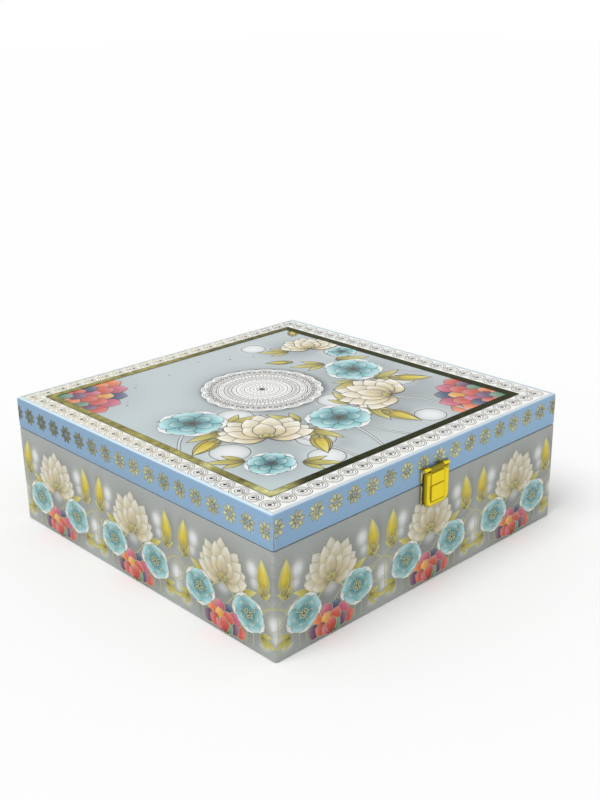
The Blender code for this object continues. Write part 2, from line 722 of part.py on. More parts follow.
def main():
    """Build the base, the lid on its hinge axis, the hinges and the latch."""
    clear_scene()
    lid_pivot = add_pivot("lid_hinge_axis", Vector((0, HINGE_AXIS_Y, SEAM_HEIGHT)))
    base_names = (
        "base_front_wall",
        "base_back_wall",
        "base_left_wall",
        "base_right_wall",
        "base_bottom_board",
    )
    base_papers = ("printed_side_paper", FOOT_TURN_UNDER, FOOT_EDGE_RADIUS, "base_floor_sheet")
    base = build_tray("base", base_names, 0, BASE_RIM, WALL_FINGER_COUNT, base_papers)
    underside = sheet_mesh(FOOT_TURN_UNDER + GLUE_GAP, 0, PAPER)
    add_piece("base_underside_sheet", underside, "underside_paper")

    lid_names = ("lid_front_rail", "lid_back_rail", "lid_left_rail", "lid_right_rail", "lid_top_board")
    lid_papers = ("printed_lid_paper", TOP_TURN_OVER, TOP_EDGE_RADIUS, "lid_ceiling_sheet")
    lid = build_tray("lid", lid_names, BOX_HEIGHT, LID_RIM, RAIL_FINGER_COUNT, lid_papers, lid_pivot)
    top_print = sheet_mesh(TOP_TURN_OVER + GLUE_GAP, BOX_HEIGHT - PAPER, BOX_HEIGHT)
    add_piece("lid_top_print", top_print, "lid_print", lid_pivot)

    build_hinges(base, lid, lid_pivot)
    build_latch(base, lid, lid_pivot)


main()
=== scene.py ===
"""The looks of the gift hamper box: printed paper, gold foil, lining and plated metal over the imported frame.

Lengths on a flat sheet of artwork are in millimetres, and everything that goes into a mesh is in metres.
The box stands on z = 0. Its front is -Y, its hinges are at +Y, and the print on the sides runs round the
box from the front left corner, to the right.
"""

from __future__ import annotations

import logging
import math
from contextlib import contextmanager
from dataclasses import dataclass, field
from enum import Enum
from typing import Callable, Iterator

import bmesh
import bpy
import numpy as np
from mathutils import Matrix, Vector

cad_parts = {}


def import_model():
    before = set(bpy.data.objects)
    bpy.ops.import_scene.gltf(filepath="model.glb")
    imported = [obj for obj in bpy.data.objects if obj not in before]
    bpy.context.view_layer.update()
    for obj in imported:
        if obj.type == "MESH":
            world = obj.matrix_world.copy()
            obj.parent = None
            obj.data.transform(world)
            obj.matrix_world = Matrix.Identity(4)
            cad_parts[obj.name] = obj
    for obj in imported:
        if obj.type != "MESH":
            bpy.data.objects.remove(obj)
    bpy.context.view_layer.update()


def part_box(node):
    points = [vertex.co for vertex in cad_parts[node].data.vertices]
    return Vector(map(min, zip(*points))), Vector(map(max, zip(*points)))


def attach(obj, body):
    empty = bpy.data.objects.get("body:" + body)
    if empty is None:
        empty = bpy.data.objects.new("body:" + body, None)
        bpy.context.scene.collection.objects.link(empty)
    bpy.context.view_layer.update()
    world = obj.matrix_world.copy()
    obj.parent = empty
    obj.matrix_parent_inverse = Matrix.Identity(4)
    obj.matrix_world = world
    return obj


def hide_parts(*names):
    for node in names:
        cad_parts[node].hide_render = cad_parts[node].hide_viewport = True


LOG = logging.getLogger("hamper_box")
MM = 0.001
TURN = 2 * math.pi
Array = np.ndarray
Piece = bpy.types.Object
Material = bpy.types.Material
Box = tuple[float, float, float, float]
Colour = tuple[float, float, float]

# Millimetres of sheet to one unit of its own map, a rim distance that no line reaches, and a sheet's middle
MAP_UNIT = 100
NO_RIM = 9.0
ORIGIN = np.zeros((1, 2))

SIDES = ("left", "right")


class Body(Enum):
    """The bodies of the frame, which move on their own."""

    BASE = "base"
    LID = "lid"
    FLAP = "latch_flap"


def ink(red: float, green: float, blue: float) -> Array:
    """A display colour from 0 to 255 as linear light: the inverse of the sRGB curve."""
    shown = np.array([red, green, blue]) / 255
    return np.where(shown <= 0.04045, shown / 12.92, ((shown + 0.055) / 1.055) ** 2.4)


def smooth(low: float, high: float, value: Array) -> Array:
    """A soft step from 0 at low to 1 at high: 3t^2 - 2t^3 of the share t between them."""
    share = np.clip((value - low) / (high - low), 0, 1)
    return share * share * (3 - 2 * share)


def hump(value: Array, width: float, power: int = 2) -> Array:
    """A soft hump that is 1 at 0: exp(-(value / width)^power)."""
    return np.exp(-((value / width) ** power))


def mixed(first: Array, second: Array, share: Array | float) -> Array:
    """A value between two others: first * (1 - share) + second * share."""
    return first * (1 - share) + second * share


# Inks from dark to light, for the foot, the middle and the tip of a petal
CREAM = (ink(126, 104, 70), ink(214, 200, 162), ink(247, 243, 230))
TEAL = (ink(20, 84, 94), ink(108, 178, 185), ink(196, 231, 232))
LEAF = (ink(112, 100, 36), ink(188, 178, 84), ink(228, 222, 150))
BUD_YELLOW = (ink(128, 104, 26), ink(216, 194, 52), ink(240, 230, 136))

# Inks of the fans' scales, and the order in which they follow each other
WARM_INKS = [ink(208, 78, 60), ink(230, 120, 62), ink(200, 88, 116), ink(104, 58, 98)]
FAN_INKS = np.array([*WARM_INKS, ink(50, 66, 108), ink(92, 138, 112), ink(232, 166, 56)])
FAN_ORDER = np.array([0, 1, 0, 2, 3, 1, 4, 0, 5, 2, 6])

# Papers, lines and foils
TOP_GROUND = ink(190, 199, 201)
SIDE_GROUND = ink(161, 165, 161)
BORDER_WHITE = ink(245, 245, 241)
BLUE_PAPER = ink(135, 170, 201)
BLUE_EDGE = ink(208, 231, 244)
PAPER_CORE = ink(224, 220, 210)
LACE_WHITE = ink(250, 250, 247)
TAUPE = ink(116, 110, 100)
CHARCOAL = ink(46, 43, 40)
GOLD_INK = ink(158, 146, 84)
PALE_GOLD = ink(202, 201, 150)
SHELL = ink(238, 240, 240)
WORN_FOIL = ink(120, 118, 96)
# The frame foil's dark and olive painted reflection, and its painted glint
FRAME_DARK, FRAME_OLIVE, FRAME_GLINT = ink(45, 48, 37), ink(184, 176, 112), ink(210, 208, 152)

# Painted highlight on the lid's top edge, on the front, the right, the back and the left
RIM_HIGHLIGHT_INKS = np.array([ink(206, 220, 229), ink(200, 218, 228), ink(226, 236, 239), ink(216, 238, 249)])


class Wire:
    """An output socket on which arithmetic makes Math nodes."""

    def __init__(self, graph: NodeGraph, socket: bpy.types.NodeSocket) -> None:
        """Keep the socket with the graph that it belongs to."""
        self.graph = graph
        self.socket = socket

    def __add__(self, other: Wire | float) -> Wire:
        """This value plus another."""
        return self.graph.maths("ADD", self, other)

    def __sub__(self, other: Wire | float) -> Wire:
        """This value less another."""
        return self.graph.maths("SUBTRACT", self, other)

    def __rsub__(self, other: float) -> Wire:
        """A number less this value."""
        return self.graph.maths("SUBTRACT", other, self)

    def __mul__(self, other: Wire | float) -> Wire:
        """This value times another."""
        return self.graph.maths("MULTIPLY", self, other)

    def __truediv__(self, other: Wire | float) -> Wire:
        """This value over another."""
        return self.graph.maths("DIVIDE", self, other)

    __radd__ = __add__
    __rmul__ = __mul__


class NodeGraph:
    """The nodes of one material or of the world."""

    def __init__(self, owner: Material | bpy.types.World) -> None:
        """Start with an empty tree."""
        owner.use_nodes = True
        self.tree = owner.node_tree
        self.tree.nodes.clear()

    def node(self, kind: str, settings: dict | None = None, values: dict | None = None) -> bpy.types.Node:
        """Make any node."""
        made = self.tree.nodes.new(kind)
        for name, setting in (settings or {}).items():
            setattr(made, name, setting)
        for name, value in (values or {}).items():
            if isinstance(value, Wire):
                self.tree.links.new(value.socket, made.inputs[name])
            else:
                made.inputs[name].default_value = value
        return made

    def maths(self, operation: str, *terms: Wire | float) -> Wire:
        """One Math node of one to three terms."""
        made = self.node("ShaderNodeMath", {"operation": operation}, dict(enumerate(terms)))
        return Wire(self, made.outputs[0])

    def step(self, low: float, high: float, value: Wire) -> Wire:
        """A share that goes smoothly from 0 to 1 as the value goes from low to high."""
        values = {"Value": value, "From Min": low, "From Max": high}
        made = self.node("ShaderNodeMapRange", {"interpolation_type": "SMOOTHSTEP"}, values)
        return Wire(self, made.outputs["Result"])

    def blend(self, share: Wire, first: Wire | Array, second: Wire | Array) -> Wire:
        """A colour between two others."""
        made = self.node(
            "ShaderNodeMix", {"data_type": "RGBA"}, {0: share, 6: opaque(first), 7: opaque(second)}
        )
        return Wire(self, made.outputs[2])

    def tinted(self, colour: Wire | Array, factor: Wire) -> Wire:
        """A colour times a number."""
        values = {0: colour if isinstance(colour, Wire) else tuple(colour), "Scale": factor}
        made = self.node("ShaderNodeVectorMath", {"operation": "SCALE"}, values)
        return Wire(self, made.outputs[0])

    def attribute(self, name: str, output: str) -> Wire:
        """A value or colour that the mesh carries at its points."""
        return Wire(self, self.node("ShaderNodeAttribute", {"attribute_name": name}).outputs[output])

    def place(self) -> Wire:
        """Where a point is on the object, in metres."""
        return Wire(self, self.node("ShaderNodeTexCoord").outputs["Object"])

    def flow(self, across: float, along: float) -> Wire:
        """The piece's own UV map, stretched across and along it."""
        where = Wire(self, self.node("ShaderNodeTexCoord").outputs["UV"])
        values = {"Vector": where, "Scale": (across, along, 1)}
        return Wire(self, self.node("ShaderNodeMapping", None, values).outputs[0])

    def stretched(self, scale: tuple[float, float, float]) -> Wire:
        """Where a point is, with each direction stretched on its own."""
        values = {"Vector": self.place(), "Scale": scale}
        return Wire(self, self.node("ShaderNodeMapping", None, values).outputs[0])

    def noise(self, where: Wire, scale: float, detail: float = 3) -> Wire:
        """A soft random value round 0.5."""
        values = {"Vector": where, "Scale": scale, "Detail": detail}
        return Wire(self, self.node("ShaderNodeTexNoise", None, values).outputs[0])

    def bump(self, height: Wire, depth: float, strength: float) -> Wire:
        """A normal pushed about by a height, over a depth in metres."""
        values = {"Height": height, "Distance": depth, "Strength": strength}
        return Wire(self, self.node("ShaderNodeBump", None, values).outputs[0])

    def surface(self, values: dict) -> None:
        """End the tree in a Principled shader."""
        shader = Wire(self, self.node("ShaderNodeBsdfPrincipled", None, values).outputs[0])
        self.node("ShaderNodeOutputMaterial", None, {"Surface": shader})


def opaque(colour: Wire | Array) -> Wire | tuple[float, ...]:
    """A colour as a socket takes it: a wire as it is, or three numbers with full alpha."""
    return colour if isinstance(colour, Wire) else (*(float(part) for part in colour), 1.0)


@dataclass(frozen=True)
class Finish:
    """A surface finish: its name, and the values that its own kind gives to the shader."""

    name: str

    def values(self, graph: NodeGraph) -> dict:
        """What the finish puts into the shader."""
        raise NotImplementedError

    def material(self) -> Material:
        """The finish as a material with one Principled shader."""
        made = bpy.data.materials.new(self.name)
        graph = NodeGraph(made)
        graph.surface(self.values(graph))
        return made


@dataclass(frozen=True)
class InkedPaper(Finish):
    """Laminated paper printed with the colours that the mesh carries.

    A shape's rim is drawn as a fine line, and its face has veins that run along it. Worn paper is paler in
    broken patches where the mesh says that it rubs.
    """

    gloss: float = 0.36
    line_width: float = 0.0
    line_soft: float = 0.12
    line_colour: Colour = tuple(GOLD_INK)
    line_metal: float = 0.6
    vein_depth: float = 0.0
    edge_shade: float = 0.0
    edge_reach: float = 2.4
    worn: bool = False

    def values(self, graph: NodeGraph) -> dict:
        """The printed colour times a cloudy tone, with the paper's veins, shade, wear and line."""
        place = graph.place()
        fibre = graph.noise(place, 1400, 4)
        cloud = graph.noise(place, 18, 3)
        tone = 0.965 + 0.05 * cloud + 0.02 * fibre
        if self.vein_depth:
            veins = graph.noise(graph.flow(11, 0.9), 2.2, 4)
            tone = tone * (1 + self.vein_depth * 2 * (veins - 0.5))
        if self.edge_shade:
            inner = graph.step(0.0, self.edge_reach, graph.attribute("rim", "Fac"))
            tone = tone * (1 - self.edge_shade + self.edge_shade * inner)
        colour = graph.tinted(graph.attribute("paint", "Color"), tone)
        if self.worn:
            rubbed = graph.attribute("wear", "Fac") * graph.step(0.44, 0.6, graph.noise(place, 230, 4))
            colour = graph.blend(0.3 * rubbed, colour, PAPER_CORE)
        rough = self.gloss + 0.1 * (cloud - 0.5) + 0.05 * (fibre - 0.5)
        metal: Wire | float = 0.0
        if self.line_width:
            rim = graph.attribute("rim", "Fac")
            line = 1 - graph.step(self.line_width - self.line_soft, self.line_width + self.line_soft, rim)
            colour = graph.blend(line, colour, np.array(self.line_colour))
            rough = rough - 0.06 * line
            if self.line_metal:
                metal = line * self.line_metal
        return {
            "Base Color": colour,
            "Roughness": rough,
            "Metallic": metal,
            "Normal": graph.bump(fibre, 0.03 * MM, 0.12),
            "Specular IOR Level": 0.3,
        }


@dataclass(frozen=True)
class HotFoil(Finish):
    """Gold foil pressed on the paper: bright, a little uneven, worn through in specks.

    The mottle is how strong its painted light and dark patches of reflection are, and graze is its colour
    where light skims it.
    """

    roughness: float = 0.3
    metallic: float = 0.92
    mottle: float = 2.3
    darkest: float = 0.3
    graze: Colour = (0.85, 0.83, 0.66)

    def values(self, graph: NodeGraph) -> dict:
        """The painted foil times its patches and glints of painted reflection, with dull specks."""
        place = graph.place()
        patch = graph.noise(place, 210, 4)
        worn = graph.step(0.66, 0.74, graph.noise(place, 620, 2))
        glint = graph.step(0.62, 0.76, graph.noise(place, 160, 3))
        # Painted reflection: light and dark patches and bright glints in the foil's colour
        shade = graph.maths("MAXIMUM", 1 + self.mottle * (patch - 0.5 + 0.22 * glint), self.darkest)
        foil = graph.tinted(graph.attribute("paint", "Color"), shade)
        return {
            "Base Color": graph.blend(0.35 * worn, foil, WORN_FOIL),
            "Roughness": self.roughness + 0.16 * (patch - 0.5) + 0.2 * worn,
            "Metallic": self.metallic - 0.3 * worn,
            "Specular Tint": (*self.graze, 1),
            "Normal": graph.bump(patch, 0.04 * MM, 0.25),
        }


@dataclass(frozen=True)
class PlatedMetal(Finish):
    """Plated sheet metal or wire: rolling lines along one axis, faint clouds, and painted darkening for dirty
    places and for shade.
    """

    colour: Colour
    roughness: float
    grain: tuple[float, float, float] = (30, 900, 900)

    def values(self, graph: NodeGraph) -> dict:
        """The metal's colour, darker and duller where it is stained, dirty or painted in shade."""
        lines = graph.noise(graph.stretched(self.grain), 1, 3)
        cloud = graph.noise(graph.place(), 110, 3)
        stain = graph.step(0.58, 0.8, graph.noise(graph.place(), 190, 4))
        # grime is painted: shade in the flap's grooves, edges and knuckle, and a light even darkening on pins
        # and fasteners
        grime = graph.attribute("grime", "Fac")
        tone = (0.94 + 0.1 * (cloud - 0.5) + 0.02 * (lines - 0.5)) * (1 - 0.86 * grime)
        return {
            "Base Color": graph.tinted(self.colour, tone * (1 - 0.14 * stain)),
            "Roughness": self.roughness + 0.1 * (lines - 0.5) + 0.12 * stain + 0.3 * grime,
            "Metallic": 1 - 0.3 * grime,
            "Normal": graph.bump(lines, 0.01 * MM, 0.05),
        }


@dataclass(frozen=True)
class PlainPaper(Finish):
    """Uncoated paper: one colour, long fibres, and a faint mottle."""

    colour: Colour

    def values(self, graph: NodeGraph) -> dict:
        """The paper's colour times its fibres, mottle and flecks."""
        fibre = graph.noise(graph.stretched((300, 900, 600)), 1, 4)
        mottle = graph.noise(graph.place(), 60, 4)
        fleck = graph.step(0.7, 0.78, graph.noise(graph.place(), 520, 2))
        tone = (0.94 + 0.08 * (mottle - 0.5) + 0.08 * fibre) * (1 - 0.1 * fleck)
        return {
            "Base Color": graph.tinted(self.colour, tone),
            "Roughness": 0.78 + 0.15 * (fibre - 0.5),
            "Normal": graph.bump(fibre, 0.06 * MM, 0.35),
        }


@dataclass(frozen=True)
class PressedBoard(Finish):
    """Raw fibreboard: tangled fibres, light and dark, and a sawn roughness."""

    colour: Colour

    def values(self, graph: NodeGraph) -> dict:
        """The board's colour times its fibres and dark specks."""
        fibre = graph.noise(graph.stretched((260, 420, 900)), 1, 5)
        speck = graph.step(0.6, 0.72, graph.noise(graph.place(), 650, 3))
        tone = (0.82 + 0.36 * fibre) * (1 - 0.25 * speck)
        return {
            "Base Color": graph.tinted(self.colour, tone),
            "Roughness": 0.85 + 0.1 * (fibre - 0.5),
            "Normal": graph.bump(fibre, 0.15 * MM, 0.5),
        }


def grid_faces(count: int, rows: int, columns: int, closed_rows: bool, closed_columns: bool) -> Array:
    """Quads between neighbours of several equal grids, whose points are numbered row by row."""
    row = np.arange(rows if closed_rows else rows - 1)[:, None]
    column = np.arange(columns if closed_columns else columns - 1)[None, :]
    below, beside = (row + 1) % rows, (column + 1) % columns
    corners = [row * columns + column, row * columns + beside]
    corners += [below * columns + beside, below * columns + column]
    quads = np.stack(corners, -1).reshape(-1, 4)
    return (quads[None] + (np.arange(count) * rows * columns)[:, None, None]).reshape(-1, 4)


@dataclass
class Skin:
    """A mesh in the making: grids of points with the values painted on them."""

    points: list[Array] = field(default_factory=list)
    faces: list[Array] = field(default_factory=list)
    values: dict[str, list[Array]] = field(default_factory=dict)
    count: int = 0

    def add(
        self,
        points: Array,
        closed: tuple[bool, bool] = (False, False),
        turned: bool = False,
        **values: Array | float,
    ) -> None:
        """Add one grid, or a stack of equal grids.

        Args:
            points: Rows by columns by 3, with any number of dimensions before them, in metres.
            closed: Whether the last row joins the first, and the last column the first.
            turned: Whether the faces are wound the other way.
            values: What each point carries: paint (3 numbers), flow (2), rim or grime (1).
        """
        rows, columns = points.shape[-3:-1]
        flat = points.reshape(-1, 3)
        faces = grid_faces(len(flat) // (rows * columns), rows, columns, *closed) + self.count
        self.points.append(flat)
        self.faces.append(faces[:, ::-1] if turned else faces)
        self.count += len(flat)
        for name, value in values.items():
            width = {"paint": 3, "flow": 2}.get(name, 1)
            shape = points.shape[:-1] + (width,)
            spread = np.asarray(value, float)
            spread = spread if width > 1 else spread[..., None] if spread.ndim else spread
            self.values.setdefault(name, []).append(np.broadcast_to(spread, shape).reshape(-1, width))

    def build(self, name: str, finish: Material, sewn: bool = False) -> Piece:
        """Make the object.

        Args:
            name: The piece's name.
            finish: Its material.
            sewn: Whether points in one place are merged and the closed skin is turned to face out.

        Returns:
            The object, at the origin, with its place in its mesh.
        """
        mesh = bpy.data.meshes.new(name)
        faces = np.concatenate(self.faces)
        mesh.from_pydata(np.concatenate(self.points).tolist(), [], faces.tolist())
        for label, parts in self.values.items():
            stacked = np.concatenate(parts)
            if label == "paint":
                layer = mesh.attributes.new(label, "FLOAT_COLOR", "POINT")
                layer.data.foreach_set("color", np.c_[stacked, np.ones(len(stacked))].ravel())
            elif label == "flow":
                layer = mesh.uv_layers.new(name="flow")
                corners = np.empty(len(mesh.loops), int)
                mesh.loops.foreach_get("vertex_index", corners)
                layer.data.foreach_set("uv", stacked[corners].ravel())
            else:
                layer = mesh.attributes.new(label, "FLOAT", "POINT")
                layer.data.foreach_set("value", stacked.ravel())
        if sewn:
            with editing(mesh) as bm:
                bmesh.ops.remove_doubles(bm, verts=bm.verts, dist=0.002 * MM)
                bmesh.ops.recalc_face_normals(bm, faces=bm.faces)
        mesh.shade_smooth()
        mesh.materials.append(finish)
        mesh.update()
        return in_scene(name, mesh)


@contextmanager
def editing(mesh: bpy.types.Mesh) -> Iterator[bmesh.types.BMesh]:
    """Open a mesh for editing, and write it back at the end."""
    bm = bmesh.new()
    bm.from_mesh(mesh)
    yield bm
    bm.to_mesh(mesh)
    bm.free()


def in_scene(name: str, data: bpy.types.ID) -> Piece:
    """A new object for a mesh, a camera or a light, at the scene's origin."""
    made = bpy.data.objects.new(name, data)
    bpy.context.scene.collection.objects.link(made)
    return made


def stand_in(piece: Piece, node: str, slot: str) -> Piece:
    """The piece, which takes the place of a node of the frame, whose node is hidden."""
    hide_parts(node)
    return piece


@dataclass(frozen=True)
class TopSheet:
    """The flat top of the lid: artwork across and up goes to x and y."""

    height: float
    lift: float = 0.008 * MM

    def __call__(self, spots: Array, level: Array) -> Array:
        """Points of the flat artwork on the lid: (x, y, height + level * lift)."""
        flat = spots * MM
        height = np.broadcast_to(self.height + level * self.lift, flat.shape[:-1])
        return np.concatenate([flat, height[..., None]], -1)


@dataclass(frozen=True)
class WallBand:
    """The walls of the box as one band that runs round its rounded corners."""

    half: float
    radius: float
    inset: float
    lift: float = 0.006 * MM

    @property
    def side(self) -> float:
        """The way round one side and one corner, in millimetres."""
        return (2 * (self.half - self.radius) + self.radius * math.pi / 2) / MM

    def round(self, way: Array, inset: Array) -> tuple[Array, Array]:
        """Where a way round the box, in millimetres, comes to at an inset from its faces.

        The way starts in the middle of the front left corner. A corner's radius shrinks with the inset.

        Args:
            way: Millimetres round the outer face.
            inset: Metres inwards.

        Returns:
            x and y, in metres.
        """
        arc = self.radius * math.pi / 2 / MM
        straight = self.side - arc
        start = way - arc / 2
        corner = np.floor(start / self.side)
        rest = start - corner * self.side
        share = np.clip(rest / straight, 0, 1) * 2 - 1
        angle = np.clip((rest - straight) / arc, 0, 1) * math.pi / 2
        half = self.half - inset
        radius = np.maximum(self.radius - inset, 0.2 * MM)
        x = share * (half - radius) + radius * np.sin(angle)
        y = -(half - radius) - radius * np.cos(angle)
        turn = corner * math.pi / 2
        return x * np.cos(turn) - y * np.sin(turn), x * np.sin(turn) + y * np.cos(turn)

    def __call__(self, spots: Array, level: Array) -> Array:
        """Points of the flat artwork on the walls: across goes round the box, up goes to z."""
        inset = np.broadcast_to(self.inset - level * self.lift, spots.shape[:-1])
        x, y = self.round(spots[..., 0], inset)
        return np.stack([x, y, spots[..., 1] * MM], -1)


@dataclass(frozen=True)
class CutBand:
    """A band whose artwork is cut off at two places of the way round."""

    band: WallBand
    start: float
    end: float

    def __call__(self, spots: Array, level: Array) -> Array:
        """Points of the flat artwork on the walls, pushed back to where the print is cut."""
        way = np.clip(spots[..., 0], self.start, self.end)
        return self.band(np.stack([way, spots[..., 1]], -1), level)


def as_stack(value: float | Array, count: int) -> Array:
    """One number for each shape of a stack, ready to spread over their grids."""
    return np.broadcast_to(np.asarray(value, float), (count,))[:, None, None]


def steps_round(count: int) -> Array:
    """Angles at equal steps once round, from 0: i / count of a turn."""
    return np.arange(count) / count * TURN


def around(angle: Array) -> Array:
    """Points on the unit circle: (cos, sin) of the angle."""
    return np.stack([np.cos(angle), np.sin(angle)], -1)


def turned_by(spots: Array, angle: Array) -> Array:
    """Flat points turned anticlockwise: (x cos - y sin, x sin + y cos)."""
    x, y = spots[..., 0], spots[..., 1]
    return np.stack([x * np.cos(angle) - y * np.sin(angle), x * np.sin(angle) + y * np.cos(angle)], -1)


def bowed(start: tuple[float, float], end: tuple[float, float], bow: float, count: int) -> Array:
    """A stem: a straight line whose x is pushed aside by bow * sin(pi * share of its length)."""
    share = np.linspace(0, 1, count)
    line = np.outer(1 - share, start) + np.outer(share, end)
    line[:, 0] += bow * np.sin(math.pi * share)
    return line[None]


def corners_of(box: Box) -> Array:
    """The corners of a box of least x and y and greatest x and y, anticlockwise from the front left."""
    low_x, low_y, high_x, high_y = box
    return np.array([(low_x, low_y), (high_x, low_y), (high_x, high_y), (low_x, high_y)])


@dataclass
class Shape:
    """A stack of equal grids of one motif, flat, with what is printed on them."""

    spots: Array
    level: Array
    paint: Array
    rim: Array
    flow: Array
    closed: bool = False


@dataclass
class Motif:
    """A printed figure, made of shapes laid over each other about its own centre."""

    shapes: list[Shape] = field(default_factory=list)

    def petals(
        self,
        turn: Array,
        length: float | Array,
        width: float | Array,
        inks: tuple[Array, Array, Array],
        level: Array,
        start: float | Array = 0.0,
        shift: float = 1.1,
        fullness: float = 0.75,
        bend: float | Array = 0.0,
        grid: tuple[int, int] = (10, 7),
        light: float = 0.22,
    ) -> Motif:
        """Lay a ring or a fan of petals.

        A petal's half width at a share a of its length is width / 2 * sin(pi * a^shift)^fullness.

        Args:
            turn: The direction of each petal, in radians from straight up, anticlockwise.
            length: Their lengths.
            width: Their greatest widths.
            inks: Colours of the foot, the middle and the tip.
            level: Their layers.
            start: How far from the centre they start.
            shift: Moves the widest place, towards the tip above 1.
            fullness: Rounds the outline below 1 and hollows it above.
            bend: Sideways bend at the tip, as a share of the length.
            grid: Points along and across.
            light: How strongly a petal is shaded.

        Returns:
            This motif.
        """
        turn = np.atleast_1d(np.asarray(turn, float))
        count = len(turn)
        along, across = np.meshgrid(np.linspace(0, 1, grid[0]), np.linspace(-1, 1, grid[1]), indexing="ij")
        size, girth, bow = as_stack(length, count), as_stack(width, count), as_stack(bend, count)
        outline = np.clip(np.sin(math.pi * along**shift), 0, 1) ** fullness
        half = girth / 2 * outline + 0.02
        x = across * half + bow * size * along**2
        y = as_stack(start, count) + along * size
        spots = turned_by(np.stack([x, y], -1), turn[:, None, None])
        lean = math.cos(math.radians(50)) * np.cos(turn) + math.sin(math.radians(50)) * np.sin(turn)
        shade = 1 - light * across * as_stack(lean, count) - 0.22 * hump(across, 0.18) * (1 - along)
        shade = shade * (0.8 + 0.2 * smooth(0, 0.35, along))
        foot, middle, tip = (np.broadcast_to(colour, (count, 3))[:, None, None] for colour in inks)
        first, second = smooth(0, 0.5, along)[..., None], smooth(0.5, 1, along)[..., None]
        paint = mixed(mixed(foot, middle, first), tip, second)
        flow = np.stack([across, along * 2], -1)
        rim = (1 - np.abs(across)) * half
        self.shapes.append(Shape(spots, as_stack(level, count), paint * shade[..., None], rim, flow))
        return self

    def ribbon(
        self, path: Array, width: float | Array, colour: Array, level: float, closed: bool = False
    ) -> Motif:
        """Lay ribbons along paths: each path shifted to both sides by half its width, square to its run.

        Args:
            path: Paths by points by 2.
            width: One width, or one for every point.
            colour: The ribbons' colour.
            level: The layer.
            closed: Whether each path runs on into its start.

        Returns:
            This motif.
        """
        run = np.gradient(path, axis=-2)
        if closed:
            run = np.roll(path, -1, axis=-2) - np.roll(path, 1, axis=-2)
        run = run / np.maximum(np.linalg.norm(run, axis=-1, keepdims=True), 1e-9)
        aside = np.stack([-run[..., 1], run[..., 0]], -1)
        across = np.linspace(-1, 1, 3)
        half = np.broadcast_to(np.asarray(width, float) / 2, path.shape[:-1])[..., None]
        spots = path[..., None, :] + aside[..., None, :] * (half * across)[..., None]
        rim = half * (1 - np.abs(across))
        shade = 1 - 0.15 * across
        paint = np.broadcast_to(colour, path.shape[:-1] + (3,))[..., None, :] * shade[:, None]
        flow = np.stack(np.broadcast_arrays(across, np.linspace(0, 1, path.shape[-2])[:, None]), -1)
        self.shapes.append(Shape(spots, np.asarray(level, float), paint, rim, flow, closed))
        return self

    def rings(self, radii: Array, width: float, colour: Array, level: float, steps: int = 48) -> Motif:
        """Lay circular lines about the centre."""
        circles = np.asarray(radii, float)[:, None, None] * around(steps_round(steps))
        return self.ribbon(circles, width, colour, level, True)

    def loops(
        self,
        count: int,
        start: float,
        length: float,
        girth: float,
        width: float,
        colour: Array,
        level: float,
        phase: float = 0.0,
        steps: int = 14,
    ) -> Motif:
        """Lay a ring of closed loops that point outwards.

        A loop is x = girth / 2 * sin(t), y = start + length * (1 - cos(t)) / 2, turned to its place.
        """
        angle = steps_round(steps)
        loop = np.stack([girth / 2 * np.sin(angle), start + length * (1 - np.cos(angle)) / 2], -1)
        turn = (np.arange(count) + phase) / count * TURN
        return self.ribbon(turned_by(loop[None], turn[:, None]), width, colour, level, True)

    def dots(
        self, places: Array, radius: float, colour: Array, level: float, squash: float = 1.0, points: int = 4
    ) -> Motif:
        """Lay round dots, each a square grid drawn round by x = u * sqrt(1 - v^2 / 2), and y likewise."""
        side = np.linspace(-1, 1, points)
        u, v = np.meshgrid(side, side, indexing="ij")
        disc = np.stack([u * np.sqrt(1 - v * v / 2), v * np.sqrt(1 - u * u / 2) * squash], -1)
        spots = places[:, None, None] + disc * radius
        out = np.linalg.norm(disc, axis=-1)
        glow = (1.12 - 0.2 * out - 0.1 * (disc[..., 0] - disc[..., 1]))[..., None]
        flow = np.stack([u, v], -1)
        rim = radius * (1 - out)
        self.shapes.append(Shape(spots, np.asarray(level, float), np.asarray(colour) * glow, rim, flow))
        return self


@dataclass
class Artwork:
    """Motifs stamped on one sheet."""

    sheet: Callable[[Array, Array], Array]
    skin: Skin = field(default_factory=Skin)

    def stamp(
        self,
        motif: Motif,
        centres: Array,
        turns: float | Array = 0.0,
        scales: float | Array = 1.0,
        squash: float = 1.0,
        mirrored: bool = False,
        level: float = 0.0,
        tints: float | Array = 1.0,
    ) -> None:
        """Print a motif at several places.

        Args:
            motif: The motif.
            centres: Places by 2, in millimetres.
            turns: Turns, in radians.
            scales: Sizes.
            squash: Flattens the motif before it is turned.
            mirrored: Whether left and right change places first.
            level: Layers below the motif's own.
            tints: How light the prints are.
        """
        centres = np.atleast_2d(np.asarray(centres, float))
        size, angle, tint = (as_stack(value, len(centres))[..., None] for value in (scales, turns, tints))
        lean = np.array([-1.0 if mirrored else 1.0, squash])
        for shape in motif.shapes:
            spots = shape.spots if shape.spots.ndim == 4 else shape.spots[None]
            placed = turned_by(spots * lean * size[..., None], angle) + centres[:, None, None, None]
            down = placed[..., 1, 0, :] - placed[..., 0, 0, :]
            aside = placed[..., 0, 1, :] - placed[..., 0, 0, :]
            turned = float(np.sum(aside[..., 0] * down[..., 1] - aside[..., 1] * down[..., 0])) < 0
            self.skin.add(
                self.sheet(placed, np.broadcast_to(shape.level + level, placed.shape[:-1])),
                closed=(shape.closed, False),
                turned=turned,
                paint=shape.paint * tint[..., None],
                rim=shape.rim * size,
                flow=shape.flow,
            )

    def piece(self, name: str, finish: Material, slot: str) -> Piece:
        """Everything that was stamped, as one piece."""
        made = self.skin.build(name, finish)
        return made


